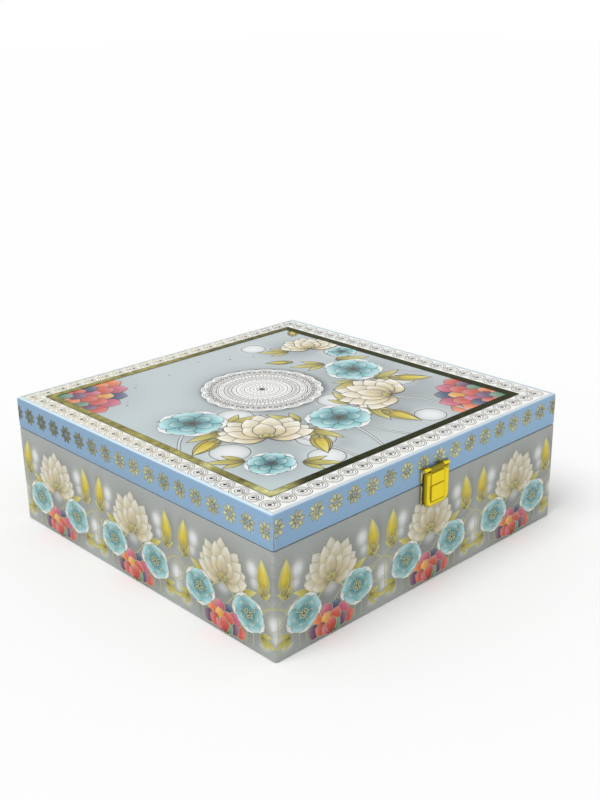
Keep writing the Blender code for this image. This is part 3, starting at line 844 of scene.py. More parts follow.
def lotus() -> Motif:
    """A side view of a many-petalled bloom, 50 mm wide, standing on its foot.

    A row of petals is their turns in degrees, lengths, width, inks, layers, widest place and bend outwards.

    Returns:
        The motif.
    """
    shaded = (CREAM[0] * 0.8, CREAM[1] * 0.86, CREAM[2] * 0.93)
    cup = (GOLD_INK * 0.6, *LEAF[1:])
    rows = [
        ((62, 32, 0, -32, -62), (24, 28, 30, 28, 24), 12.5, shaded, (1, 2, 3, 2, 1), 1.15, 0.0),
        ((80, 48, 16, -16, -48, -80), (23, 25, 26, 26, 25, 23), 12, CREAM, (4, 5, 6, 7, 5, 4), 1.2, 0.06),
        ((98, 64, -64, -98), (16, 20, 20, 16), 9.5, CREAM, (8, 9, 9, 8), 1.1, 0.1),
        ((30, 0, -30), (17, 18.5, 17), 11, CREAM, (10, 12, 11), 1.0, 0.0),
    ]
    made = Motif()
    for turns, lengths, width, inks, levels, shift, bend in rows:
        turn = np.radians(turns)
        made.petals(turn, lengths, width, inks, levels, shift=shift, bend=bend * np.sign(turn))
    return made.petals(np.radians([40, 0, -40]), 5, 4, cup, (13, 15, 14), grid=(6, 5))


def open_bloom() -> Motif:
    """A bloom seen from the front, 34 mm wide: white-edged petals in two rings round a boss of stamens.

    Returns:
        The motif, about the bloom's middle.
    """
    pale = (TEAL[0], mixed(TEAL[2], SHELL, 0.5), SHELL)
    deep = (TEAL[0] * 0.7, TEAL[1] * 0.72, TEAL[2] * 0.9)
    turn = steps_round(5)
    made = Motif()
    made.petals(turn + 0.63, 16.5, 15, pale, (1, 2, 1, 2, 3), shift=1.75, fullness=0.55)
    made.petals(turn, 15.0, 15, TEAL, (4, 5, 4, 5, 6), shift=1.8, fullness=0.55)
    made.petals(turn + 0.2, 10.5, 8.5, deep, (7, 8, 7, 8, 9), shift=1.4)
    ring = around(steps_round(11))
    made.dots(ring * 3.6, 0.7, LEAF[2], 10)
    made.dots(ring[::2] * 1.9, 0.75, LEAF[1], 11)
    return made.dots(ORIGIN, 1.5, TEAL[0] * 0.5, 12, points=7)


def leaf_spray() -> Motif:
    """Three slim leaves on one stalk, the middle one 24 mm long."""
    turn = np.radians([34, -34, 0])
    return Motif().petals(turn, (17, 17, 24), (6, 6, 7.5), LEAF, (1, 2, 3), shift=0.85, fullness=0.95)


def bud() -> Motif:
    """A closed yellow bud, 21 mm tall: two outer leaves and a middle one, with a cup at its foot."""
    side = (BUD_YELLOW[0], BUD_YELLOW[1] * 0.8, BUD_YELLOW[2] * 0.9)
    cup = (GOLD_INK * 0.6, GOLD_INK, LEAF[1])
    made = Motif()
    made.petals(np.radians([5, -5]), 20, 8, side, (1, 2), shift=0.85, fullness=0.8, bend=(0.085, -0.085))
    made.petals(np.zeros(1), 21, 5.4, BUD_YELLOW, 3, shift=0.85, fullness=0.95)
    return made.petals(np.radians([18, -18]), 6, 3.6, cup, (4, 5), grid=(6, 5))


def fan(sweep: float, rows: int, radius: float) -> Motif:
    """A fan of overlapping scales in many colours.

    Row r of scales reaches radius * (1 - r / (rows + 0.6)) and has as many as its arc holds.

    Args:
        sweep: The fan's angle, in radians, centred on straight up.
        rows: How many rows of scales.
        radius: How far they reach.

    Returns:
        The motif, about the fan's point.
    """
    made = Motif()
    length = radius / rows * 1.9
    for row in range(rows):
        reach = radius * (1 - row / (rows + 0.6))
        width = radius / rows * (1.6 - 0.1 * row)
        count = max(int(round(sweep * (reach - length * 0.35) / (width * 0.78))), 3)
        scale = np.arange(count)
        turn = (scale - (count - 1) / 2) * sweep / count
        colour = FAN_INKS[FAN_ORDER[(scale * 3 + row * 4) % len(FAN_ORDER)]]
        inks = (colour * 0.3, colour * 0.9, mixed(colour, SHELL, 0.18))
        order = 1 + row * 2 + scale % 2
        made.petals(turn, length, width, inks, order, reach - length, 1.3, 0.78, grid=(9, 7), light=0.3)
    return made


def scroll_ring(gilt: float) -> Motif:
    """One eyelet of the lace border, 10 mm wide: a dot, a scroll that opens beside it, and two rings.

    Args:
        gilt: How far its ink goes from charcoal to gold.

    Returns:
        The motif.
    """
    thin = mixed(TAUPE * 0.75, GOLD_INK * 1.3, gilt)
    bold = mixed(CHARCOAL, GOLD_INK * 0.62, gilt)
    made = Motif()
    made.rings([5.15], 0.42, thin, 1, 28)
    made.rings([4.1], 0.34, thin, 1, 24)
    angle = np.linspace(0, 1.35 * TURN, 30)
    reach = 1.75 + 1.2 * angle / angle[-1]
    made.ribbon((reach[:, None] * around(angle))[None], 0.42, bold * 1.5, 2)
    small = (3.15, 0) + 0.75 * around(np.linspace(0, TURN, 14))
    made.ribbon(small[None], 0.4, bold * 1.3, 3)
    return made.dots(ORIGIN, 1.15, bold * 0.6, 4, points=5)


def lace_round(radius: float) -> Motif:
    """A round lace medallion: a scalloped white disc with rings of loops, dashes and beads about a dark eye.

    The disc's edge is radius * (0.965 + 0.035 * |sin(10 * angle)|). Lengths are shares of the radius.

    Args:
        radius: The greatest radius of the disc.

    Returns:
        The motif, about its centre.
    """
    made = Motif()
    share, angle = np.meshgrid(np.linspace(0.01, 1, 34), steps_round(300), indexing="ij")
    edge = radius * (0.965 + 0.035 * np.abs(np.sin(10 * angle)))
    reach = share * edge
    emboss = 0.985 + 0.015 * np.cos(reach * TURN / 5.3)
    for start, end, depth in ((0.77, 0.92, 0.34), (0.5, 0.605, 0.4), (0.32, 0.375, 0.26)):
        rise, fall = smooth(start - 0.02, start + 0.01, share), smooth(end - 0.01, end + 0.02, share)
        emboss = emboss - depth * rise * (1 - fall)
    face = (reach[..., None] * around(angle), LACE_WHITE * emboss[..., None], np.stack([share, angle], -1))
    spots, paint, flow = (part.transpose(1, 0, 2)[None] for part in face)
    made.shapes.append(Shape(spots, np.asarray(1.0), paint, (edge - reach).T[None], flow, True))
    dark = CHARCOAL * 1.1
    made.rings(np.array([0.745, 0.62]) * radius, 0.55, dark, 2, 120)
    made.rings(np.array([0.715, 0.495, 0.42, 0.29, 0.2]) * radius, 0.42, dark, 2, 96)
    for place, phase in (((0.79, 0.17, 0.2), 0.5), ((0.77, 0.11, 0.11), 0.0)):
        for width, colour, level in ((1.55, dark, 3), (0.85, LACE_WHITE, 4)):
            made.loops(20, *(np.array(place) * radius), width, colour, level, phase, 20)
    made.loops(20, 0.83 * radius, 0.06 * radius, 0.05 * radius, 0.6, dark, 5, 0.5)
    made.loops(40, 0.515 * radius, 0.075 * radius, 0.05 * radius, 0.45, LACE_WHITE, 3)
    dashes = [(66, 0.64, 0.695, 0.55), (80, 0.545, 0.575, 0.5), (36, 0.44, 0.475, 0.4)]
    for count, start, end, width in [*dashes, (14, 0.125, 0.155, 0.7)]:
        dash = np.array([[0, start], [0, end]]) * radius
        made.ribbon(turned_by(dash[None], steps_round(count)[:, None]), width, dark, 4)
    made.dots(around(steps_round(24)) * 0.245 * radius, 0.5, TAUPE, 4, points=3)
    made.rings([0.085 * radius], 0.5, CHARCOAL, 4, 32)
    return made.dots(ORIGIN, 2.2, CHARCOAL * 0.5, 5, points=8)


def daisy(radius: float) -> tuple[Motif, Motif]:
    """An eight-petalled foil daisy: its petals, and the lines round them."""
    turn = steps_round(8)
    pale = (PALE_GOLD * 0.7, 0.78 * PALE_GOLD + 0.2 * BLUE_PAPER, mixed(PALE_GOLD, BLUE_PAPER, 0.13))
    fill = Motif().petals(turn, radius * 0.66, radius * 0.25, pale, 1, radius * 0.3, grid=(9, 3))
    line = Motif().loops(8, radius * 0.24, radius * 0.76, radius * 0.37, 0.42, GOLD_INK * 1.1, 3, steps=16)
    return fill, line.dots(ORIGIN, radius * 0.1, GOLD_INK * 0.8, 4, points=4)


@dataclass(frozen=True)
class Shadows:
    """Soft marks on a printed ground: rows of x, y, half width, half height and strength."""

    marks: Array
    period: float = 0.0

    def __call__(self, spots: Array) -> Array:
        """What the marks leave of the light: the product of 1 - strength * exp(-d^3), d in half sizes."""
        gap = spots[..., None, :] - self.marks[:, :2]
        if self.period:
            gap[..., 0] = (gap[..., 0] + self.period / 2) % self.period - self.period / 2
        far = np.linalg.norm(gap / self.marks[:, 2:4], axis=-1)
        return np.prod(1 - self.marks[:, 4] * hump(far, 1, 3), axis=-1)[..., None]


def directions(corners: Array) -> Array:
    """The unit vector of each straight run between corners: its difference over its length."""
    ways = np.diff(corners, axis=0)
    return ways / np.linalg.norm(ways, axis=1, keepdims=True)


def rounded_section(corners: Array, radii: Array, spacing: float, steps: int) -> Array:
    """A path of straight runs whose inner corners are rounded.

    A corner's arc is centre + radius * (way_in * sin - way_out * cos), the centre one radius from both runs.

    Args:
        corners: Points by 2.
        radii: One radius for each inner corner.
        spacing: The longest step on a straight run.
        steps: Steps in each arc.

    Returns:
        The path's points.
    """
    ways = directions(corners)
    angle = np.linspace(0, math.pi / 2, steps + 1)[:, None]
    arcs = [corners[:1]]
    for corner, way_in, way_out, radius in zip(corners[1:-1], ways, ways[1:], radii):
        centre = corner + (way_out - way_in) * radius
        arcs.append(centre + (way_in * np.sin(angle) - way_out * np.cos(angle)) * radius)
    arcs.append(corners[-1:])
    runs = []
    for here, there in zip(arcs, arcs[1:]):
        count = max(int(math.ceil(np.linalg.norm(there[0] - here[-1]) / spacing)), 1)
        share = np.linspace(0, 1, count + 1)[1:-1, None]
        runs += [here, here[-1] + share * (there[0] - here[-1])]
    return np.concatenate(runs + [arcs[-1]])


@dataclass
class PaperWrap:
    """The printed paper of one tray, from its closed edge round the wall to the inside of its rim.

    It is worn on the box's corners, along its rim and along its closed edge, by the shares in wear.
    """

    body: Body
    slot: str
    finish: Material
    paint: Callable[[Array], Array]
    band: WallBand
    turn_over: float
    edge_radius: float
    rim_radius: float = 0.8 * MM
    depth: float = 5.4 * MM
    turn_in: float = 8 * MM
    paper: float = 0.4 * MM
    spacing: float = 2 * MM
    inner_spacing: float = 8 * MM
    least_radius: float = 0.05 * MM
    wear: tuple[float, float, float] = (0.5, 0.3, 0.6)
    worn_round: float = 1.2
    worn_rim: float = 0.5 * MM
    worn_edge: float = 0.7 * MM

    def section(self, closed_z: float, rim_z: float) -> Array:
        """The paper cut across: its outer path, and back along the same path one thickness further in.

        Args:
            closed_z: Height of the tray's closed side.
            rim_z: Height of its rim.

        Returns:
            Points of (inset, height) round the cut.
        """
        up = math.copysign(1, rim_z - closed_z)
        face = self.band.inset
        corners = [(self.turn_over, closed_z), (face, closed_z), (face, rim_z), (self.depth, rim_z)]
        corners = np.array([*corners, (self.depth, rim_z - up * self.turn_in)])
        ways = directions(corners)
        aside = np.stack([ways[:, 1], -ways[:, 0]], -1) * up
        shift = np.concatenate([aside[:1], aside[:-1] + aside[1:], aside[-1:]])
        radii = np.array([self.edge_radius, self.rim_radius, self.rim_radius])
        inner_radii = np.maximum(radii - self.paper, self.least_radius)
        outer = rounded_section(corners, radii, self.spacing, 5)
        inner = rounded_section(corners + shift * self.paper, inner_radii, self.inner_spacing, 3)
        return np.concatenate([outer, inner[::-1]])

    def build(self) -> Piece:
        """Carry the paper's section round the box: each of its points goes along the band at its inset."""
        node = f"{self.body.value}_wrap"
        low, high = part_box(node)
        lid = self.body is Body.LID
        closed_z, rim_z = (high.z, low.z) if lid else (low.z, high.z)
        section = self.section(closed_z, rim_z)
        inset, height, way = np.broadcast_arrays(section[:, :1], section[:, 1:], self.ways())
        x, y = self.band.round(way, inset)
        spots = np.stack([way, height / MM], -1)
        from_corner = np.abs((way + self.band.side / 2) % self.band.side - self.band.side / 2)
        humps = [
            hump(from_corner, self.worn_round),
            hump(height - rim_z, self.worn_rim),
            hump(height - closed_z, self.worn_edge),
        ]
        rubbed = sum(share * part for share, part in zip(self.wear, humps))
        outside = inset < self.depth * 0.5
        skin = Skin()
        skin.add(
            np.stack([x, y, height], -1),
            closed=(True, True),
            turned=lid,
            paint=self.paint(spots),
            flow=spots / MAP_UNIT,
            rim=NO_RIM,
            wear=np.clip(rubbed, 0, 1) * outside,
        )
        made = skin.build(f"{self.body.value}_printed_wrap", self.finish, sewn=True)
        return stand_in(made, node, self.slot)

    def ways(self) -> Array:
        """Places round the box: close together on the corners, and at the spacing between them."""
        side, arc = self.band.side, self.band.radius * math.pi / 2 / MM
        bend = np.linspace(-arc / 2, arc / 2, 9)
        straight = np.linspace(arc / 2, side - arc / 2, int(side * MM / self.spacing))[1:-1]
        one = np.concatenate([bend, straight])
        return (one[None] + np.arange(4)[:, None] * side).ravel()[None]


@dataclass
class SideFrieze:
    """The frieze round the base: a wave of vine with lotuses, open blooms, buds and fans, three to a side.

    A repeat has its lotus and its fan in the middle, and an open bloom a quarter of its length from each end.
    """

    band: WallBand
    finishes: dict[str, Material]
    to_a_side: int = 3
    vine_middle: float = 27.0
    vine_swing: float = 6.0
    slot: str = "side_paper"

    @property
    def period(self) -> float:
        """The way round from one lotus to the next."""
        return self.band.side / self.to_a_side

    def repeats(self, across: float, up: float) -> Array:
        """The same place in each of the repeats round the box."""
        way = np.arange(4 * self.to_a_side) * self.period + across
        return np.stack([way, np.full_like(way, up)], -1)

    def ground(self, spots: Array) -> Array:
        """The colour of the ground: grey, with soft shadows under the motifs and pale glows between them.

        Args:
            spots: Places round the box and up it.

        Returns:
            Colours.
        """
        middle, side, end = self.period / 2, self.period / 4, self.period
        marks = [(middle + 2.5, 40, 24, 19, 0.42), (middle + 1.5, 7, 20, 14, 0.42)]
        marks += [(across + 2, 20.5, 15, 14, 0.4) for across in (side, end - side)]
        marks += [(across, 47, 6, 13, 0.34) for across in (8.5, end - 5.5)]
        glows = [(0.0, 23, 4.4, 5, 0.75), (1.4, 14.5, 3, 3.2, 0.6), (middle, 30, 5, 3.4, 0.4)]
        for away, *glow in ((4, 51.5, 4, 4.6, 0.75), (5.5, 43.5, 2.8, 3.2, 0.55), (13, 7, 4, 2.2, 0.5)):
            glows += [(side - away, *glow), (end - side + away, *glow)]
        light = Shadows(np.array(marks), self.period)(spots)
        glow = 1 - Shadows(np.array(glows), self.period)(spots)
        drift = 1 + 0.03 * np.sin(spots[..., :1] / 61) * np.cos(spots[..., 1:] / 23)
        return mixed(SIDE_GROUND * light * drift, SHELL, glow)

    def vines(self) -> Piece:
        """Two waves of vine, the stalks of the buds, hanging stems, curls, and thin rings round the glows.

        A wave is middle + swing * cos(2 * way in turns of the repeat). A curl winds in to 0.15 of its radius.
        """
        side = self.period / 4
        art = Artwork(self.band)
        way = np.linspace(0, 4 * self.band.side, 2400)
        wave = self.vine_middle + self.vine_swing * np.cos(2 * way * TURN / self.period)
        second = self.vine_middle - 1 - (self.vine_swing + 1.6) * np.cos(2 * way * TURN / self.period + 0.5)
        plot = Motif().ribbon(np.stack([way, wave], -1)[None], 1.0, PALE_GOLD * 0.8, 2)
        plot.ribbon(np.stack([way, second], -1)[None], 0.6, LEAF[1], 1)
        art.stamp(plot, ORIGIN)
        stalk = Motif()
        lines = [((0, 33), (6.6, 40), 2.0), ((0, 33), (-6.6, 40), -2.0)]
        for foot in (-side - 3.5, -side + 2.5, side - 2.5, side + 3.5, 2.2):
            lines.append(((foot, 21 if abs(foot) > 9 else 31), (foot * 0.97, 2.6), -0.05 * foot))
        for start, end, bow in lines:
            stalk.ribbon(bowed(start, end, bow, 24), 0.62, PALE_GOLD * 0.75, 3)
        curl = np.linspace(0, 1.4 * TURN, 40)
        reach = 3.4 * (1 - curl / curl[-1] * 0.85)
        for sign in (-1, 1):
            spiral = np.stack([sign * (10.5 - reach * np.cos(curl)), 29.5 - reach * np.sin(curl)], -1)
            stalk.ribbon(spiral[None], 0.5, PALE_GOLD * 0.8, 4)
        art.stamp(stalk, self.repeats(0, 0))
        ring = Motif().rings([5.4], 0.22, TAUPE * 1.2, 5, 30)
        art.stamp(ring, self.repeats(0, 23))
        for across in (side - 4, self.period - side + 4):
            art.stamp(ring, self.repeats(across, 51), 0, 0.95)
        return art.piece("side_vines", self.finishes["side_stem"], self.slot)

    def blooms(self) -> Piece:
        """The open blooms, in mirrored pairs, and the lotuses between them."""
        art = Artwork(self.band)
        side = self.period / 4
        for across, lean, mirrored in ((side, 0.16, False), (self.period - side, -0.16, True)):
            places = self.repeats(across, 22.5)
            art.stamp(open_bloom(), places, lean, 0.86, 0.86, mirrored, level=7.25, tints=0.86)
        art.stamp(lotus(), self.repeats(self.period / 2, 35.0), 0, 0.94, 0.95, level=15.5, tints=0.8)
        return art.piece("side_blooms", self.finishes["side_bloom"], self.slot)

    def leaves(self) -> Piece:
        """The buds on their stalks, and sprays of leaves in mirrored pairs: across, up, turn and size."""
        art = Artwork(self.band)
        middle, side = self.period / 2, self.period / 4
        art.stamp(bud(), self.repeats(6.8, 38), -0.1, 1.12, level=8.6)
        art.stamp(bud(), self.repeats(-6.8, 38), 0.1, 1.12, mirrored=True, level=8.6)
        spray = leaf_spray()
        rows = [(side + 8.5, 12, -2.0, 0.62), (side - 9, 12.5, 1.9, 0.62)]
        rows += [(middle - 14.5, 32, 1.15, 0.66), (side - 11, 36, 0.35, 0.6)]
        for across, up, turn, size in rows:
            art.stamp(spray, self.repeats(across, up), turn, size, level=4.4)
            art.stamp(spray, self.repeats(self.period - across, up), -turn, size, mirrored=True, level=4.8)
        return art.piece("side_leaves", self.finishes["side_leaf"], self.slot)

    def fans(self) -> Piece:
        """The half-round fans at the foot."""
        art = Artwork(self.band)
        art.stamp(fan(math.pi, 3, 19), self.repeats(self.period / 2, 3.6), 0, 1, 0.98, level=8.6)
        return art.piece("side_fans", self.finishes["side_fan"], self.slot)

    def build(self) -> list[Piece]:
        """Every layer of the frieze, each one piece."""
        return [self.vines(), self.blooms(), self.leaves(), self.fans()]


@dataclass
class LidPicture:
    """The print on top of the lid: lace border, foil frame, lace medallion and a wreath of blooms.

    Boxes are least x and y and greatest x and y. The wreath is the angles of its flowers.
    """

    finishes: dict[str, Material]
    half: float = 124.1
    border: Box = (-118.7, -116.3, 116.7, 118.8)
    eyelets: int = 20
    eyelet_scale: float = 1.08
    first_gap: float = 1.3
    outer: Box = (-112.5, -110.0, 109.0, 113.4)
    inner: Box = (-107.0, -104.3, 102.5, 108.0)
    under_frame: float = 2.0
    frame_level: float = 34.0
    round_at: tuple[float, float] = (-2.4, 19.6)
    round_radius: float = 41.3
    wreath_radius: float = 74.0
    lotuses: tuple[float, ...] = (-131, -52)
    blooms: tuple[float, ...] = (-168, -91, -12)
    buds: tuple[float, ...] = (-149, -110, -72, -31)
    sunk: float = 0.3 * MM
    slot: str = "top_print"

    def on_wreath(self, angle: Array, away: Array | float = 0.0) -> Array:
        """Places on the wreath: centre + (radius + away) * (cos, sin) of the angle in degrees."""
        reach = np.atleast_1d(self.wreath_radius + np.asarray(away, float))[:, None]
        return around(np.radians(angle)) * reach + self.round_at

    def sheet(self) -> TopSheet:
        """The surface that the layers lie on, just under the top of the lid."""
        return TopSheet(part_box("lid_top_print")[1].z - self.sunk)

    def pearls(self) -> list[tuple[Array, float]]:
        """Places and radii of the pearl glows, between the blooms of the wreath and beyond it."""
        found = [(place, 12.0) for place in self.on_wreath((-151, -112, -69, -33), (-21, 21, -20, 20))]
        found += [((92, 40), 11.0), ((-88, -48), 12.0), ((52, 90), 9.0), ((-52, -92), 11.0)]
        return found + [((40, -92), 10.0)]

    def light(self, spots: Array) -> Array:
        """How much light the print leaves: shadows under flowers and in corners, and round the medallion.

        Args:
            spots: Places on the lid.

        Returns:
            Shares of the light.
        """
        marks = []
        for angles, away, mark in (
            (self.lotuses, 4, (36, 30, 0.36)),
            (self.blooms, 0, (27, 25, 0.36)),
            (self.buds, 24, (11, 16, 0.26)),
        ):
            marks += [(*place, *mark) for place in self.on_wreath(angles, away) + (2, -5)]
        centre = np.array(self.round_at)
        marks += [(*(centre + (1.5, -2.5)), 47, 47, 0.2), (-107, 108, 48, 48, 0.3), (102, -104, 48, 48, 0.3)]
        marks += [(74, 68, 25, 21, 0.34), (-82, -79, 20, 19, 0.3)]
        away = np.linalg.norm(spots - centre - (0.6, -0.8), axis=-1) - self.round_radius
        ring = 1 - 0.5 * hump(np.maximum(away + 0.6, 0), 2.6) - 0.12 * hump(away, 8)
        return Shadows(np.array(marks))(spots) * ring[..., None]

    def ground(self) -> Piece:
        """The printed sheet: white under the border, satin grey-blue inside the frame.

        Its colour has a soft band of light across the left side, shadows, and glows. The sheet is a grid with
        its rim turned down to its foot.
        """
        side = np.linspace(-self.half, self.half, 220)
        x, y = np.meshgrid(side, side, indexing="xy")
        spots = np.stack([x, y], -1)
        glows = np.array([(*place, size, size, 0.92) for place, size in self.pearls()])
        glow = 1 - Shadows(glows)(spots)
        drift = 0.06 * smooth(20, -110, x)[..., None] * np.array([0.3, 0.9, 1.0])
        picture = mixed(TOP_GROUND * (self.light(spots) + drift), SHELL, glow)
        low, high = np.array(self.outer[:2]) + self.under_frame, np.array(self.outer[2:]) - self.under_frame
        within = ((spots > low) & (spots < high)).all(-1, keepdims=True)
        top = self.sheet()(spots, np.zeros(1))
        foot = (0, 0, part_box("lid_top_print")[0].z)
        last = len(side) - 1
        skin = Skin()
        skin.add(top, paint=np.where(within, picture, BORDER_WHITE), flow=spots / MAP_UNIT, rim=NO_RIM)
        edge = np.concatenate([top[0], top[1:, -1], top[-1, -2::-1], top[-2:0:-1, 0]])
        skirt = np.stack([edge, edge * (1, 1, 0) + foot])
        skin.add(skirt, closed=(False, True), paint=BORDER_WHITE, flow=0.0, rim=NO_RIM)
        bottom = top[::last, ::last] * (1, 1, 0) + foot
        skin.add(bottom, turned=True, paint=BORDER_WHITE, flow=0.0, rim=NO_RIM)
        return stand_in(skin.build("lid_top_sheet", self.finishes["ground"]), "lid_top_print", self.slot)

    def lace(self) -> Piece:
        """The lace border: eyelets at equal steps along four lines, corners included.

        They are charcoal on the front and the right, and gilt on the back and on the left up to its middle.
        """
        corners = corners_of(self.border)
        share = (np.arange(self.eyelets) / self.eyelets)[:, None]
        rows = [mixed(here, there, share) for here, there in zip(corners, np.roll(corners, -1, 0))]
        rows[3][:, 1] += self.first_gap * share[:, 0]
        turns = np.repeat(np.arange(4) * math.pi / 2, self.eyelets)
        places = np.concatenate(rows)
        back, left = smooth(0, 0.3, share), 1 - smooth(0.4, 0.85, share)
        gilt = np.concatenate([0 * share, 0 * share, back, left])[:, 0].round(1)
        art = Artwork(self.sheet())
        for amount in np.unique(gilt):
            chosen = gilt == amount
            art.stamp(scroll_ring(amount), places[chosen], turns[chosen], self.eyelet_scale, level=1)
        return art.piece("lid_lace_border", self.finishes["line"], self.slot)

    def frame(self) -> Piece:
        """The foil frame, mitred at its corners, with a darker line along both edges.

        The foil's painted reflection goes from dark to olive by a share of its own on each side, and it has
        painted glints at two places.
        """
        across = np.array([0, 0.07, 0.1, 0.5, 0.9, 0.93, 1])
        t, s = np.meshgrid(np.linspace(0, 1, 80), across, indexing="ij")
        edges = []
        for box in (self.outer, self.inner):
            here = corners_of(box)[:, None, None]
            edges.append(mixed(here, np.roll(here, -1, 0), t[..., None]))
        spots = mixed(*edges, s[..., None])
        # Painted reflection by side: olive on the front only near its left corner, dark on the right, rising
        # to olive along the back, olive on the left
        front = 0.7 * (1 - smooth(0.06, 0.12, t))
        back, left = 0.26 + 0.5 * smooth(0.25, 0.6, t), 0.68 + 0.2 * t
        share = np.stack([front, 0.03 * t, back, left])[..., None]
        away = np.linalg.norm(spots - self.outer[:2], axis=-1)
        # Painted glints near the front left corner, and 58 mm from it along the left side
        glint = np.concatenate([hump(away[:3], 16, 4), (hump(away, 18, 4) + 0.9 * hump(away - 58, 4))[3:]])
        # A painted dark patch of reflection about 33 mm from the front left corner along the left side
        dull = np.ones_like(away)
        dull[3] = 1 - 0.5 * hump(away[3] - 33, 12, 4)
        paint = mixed(FRAME_DARK, FRAME_OLIVE, share) * dull[..., None]
        paint = mixed(paint, FRAME_GLINT, glint[..., None])
        paint = paint * (0.45 + 0.55 * ((s > 0.08) & (s < 0.92)))[..., None]
        rim, flow = 5.0 * np.minimum(s, 1 - s), np.stack([t, s], -1)
        art = Artwork(self.sheet())
        art.stamp(Motif([Shape(spots, np.asarray(self.frame_level), paint, rim, flow)]), ORIGIN)
        return art.piece("lid_foil_frame", self.finishes["foil"], self.slot)

    def medallion(self) -> Piece:
        """The lace medallion."""
        art = Artwork(self.sheet())
        art.stamp(lace_round(self.round_radius), self.round_at, level=1)
        return art.piece("lid_medallion", self.finishes["line"], self.slot)

    def stems(self) -> Piece:
        """The wreath's two winding vines, stems that run to the frame, and thin rings round the pearls.

        A vine runs at wreath radius + swing * sin(13 * angle), and thins out at both ends.
        """
        angle = np.linspace(math.radians(-184), math.radians(6), 260)
        swing = 3.2 * np.sin(angle * 13)
        reach = self.wreath_radius + swing
        taper = np.clip(np.minimum(angle - angle[0], angle[-1] - angle) * 8, 0.15, 1)
        plot = Motif()
        rings = ((reach, 1.9, SHELL * 0.85, 2), (reach - 2.2 * swing, 1.0, LEAF[1], 1))
        for radius, width, colour, level in rings:
            path = around(angle) * radius[:, None] + self.round_at
            plot.ribbon(path[None], width * taper, colour, level)
        lines = [((-53, -38), (-40, -105), 5), ((-6, -55), (8, -105), -4), ((41, -40), (64, -105), 6)]
        lines += [((-6, -55), (-18, -105), 3), ((68, 3), (103, -40), 4), ((-77, 3), (-107, -24), -3)]
        for start, end, bow in [*lines, ((82, 60), (103, 30), 3)]:
            plot.ribbon(bowed(start, end, bow, 40), 2.3, SHELL * 0.85, 3)
        for place, size in self.pearls():
            ring = around(steps_round(40)) * size * 1.02 + place
            plot.ribbon(ring[None], 0.5, CHARCOAL * 1.4, 4, True)
        art = Artwork(self.sheet())
        art.stamp(plot, ORIGIN)
        return art.piece("lid_stems", self.finishes["stem"], self.slot)

    def flowers(self) -> Piece:
        """The open blooms and lotuses of the wreath, leaning outwards, and three beyond it."""
        art = Artwork(self.sheet())
        lean = (np.radians(self.blooms) + math.pi / 2) * 0.5
        art.stamp(open_bloom(), self.on_wreath(self.blooms), lean + 0.2, 1.42, 0.92, level=8.25)
        art.stamp(open_bloom(), (-82, -77), 0.4, 1.05, 0.92, level=8.25)
        art.stamp(open_bloom(), (93, 38), 0.1, 0.8, 0.9, level=20.25)
        lean = (np.radians(self.lotuses) + math.pi / 2) * 0.8
        foot = self.on_wreath(self.lotuses) + turned_by(np.array([[0, -13.0]]), lean)
        art.stamp(lotus(), foot, lean, 1.36, 0.96, level=18.5)
        art.stamp(lotus(), (82, 60), -0.55, 1.0, 0.94, level=18.5)
        return art.piece("lid_blooms", self.finishes["bloom"], self.slot)

    def leaves(self) -> Piece:
        """The wreath's buds and its sprays of leaves, tilted by turns to both sides, and a few beyond it."""
        art = Artwork(self.sheet())
        turn = np.radians(self.buds) - math.pi / 2 - 0.2
        art.stamp(bud(), self.on_wreath(self.buds, 14), turn, 1.5, level=6.75)
        sprays = np.array([-150, -111, -71, -31, 6])
        tilt = 0.6 * np.where(np.arange(len(sprays)) % 2, 1, -1)
        for away, flip in ((5, math.pi), (-7, 0.0)):
            turn = np.radians(sprays) + math.pi / 2 + flip + tilt
            art.stamp(leaf_spray(), self.on_wreath(sprays, away), turn, 1.1, level=3.75)
        art.stamp(bud(), [(94, 92), (52, 46)], (-0.8, 0.9), level=6.75)
        places = [(66, 66), (82, 68), (-68, -88), (-90, -64)]
        art.stamp(leaf_spray(), places, (0.9, -1.5, -2.4, 0.9), level=3.75)
        return art.piece("lid_leaves", self.finishes["leaf"], self.slot)

    def fans(self) -> Piece:
        """The quarter-round fans in two corners of the frame."""
        low_x, low_y, high_x, high_y = self.inner
        corners = [(low_x - 1.5, high_y + 1.5), (high_x + 1.5, low_y - 1.5)]
        art = Artwork(self.sheet())
        art.stamp(fan(math.pi / 2, 5, 50), corners, np.array([-0.75, 0.25]) * math.pi, level=1.5)
        return art.piece("lid_fans", self.finishes["fan"], self.slot)

    def specks(self) -> Piece:
        """Small dots strewn over the ground, every other one with a smaller one beside it."""
        spots = [(-60, 84), (-28, 88), (-84, 60), (-88, 22), (24, 84), (4, 96), (70, 8), (84, -6), (40, 76)]
        spots = np.array(spots)
        art = Artwork(self.sheet())
        art.stamp(Motif().dots(spots, 0.9, TAUPE * 0.7, 2, 0.7), ORIGIN)
        art.stamp(Motif().dots(spots[::2] + (4, 5), 0.6, TAUPE, 2, 0.7), ORIGIN)
        return art.piece("lid_specks", self.finishes["line"], self.slot)

    def build(self) -> list[Piece]:
        """Every layer of the lid's print, each one piece."""
        made = [self.ground(), self.lace(), self.frame(), self.medallion(), self.stems()]
        return made + [self.flowers(), self.leaves(), self.fans(), self.specks()]


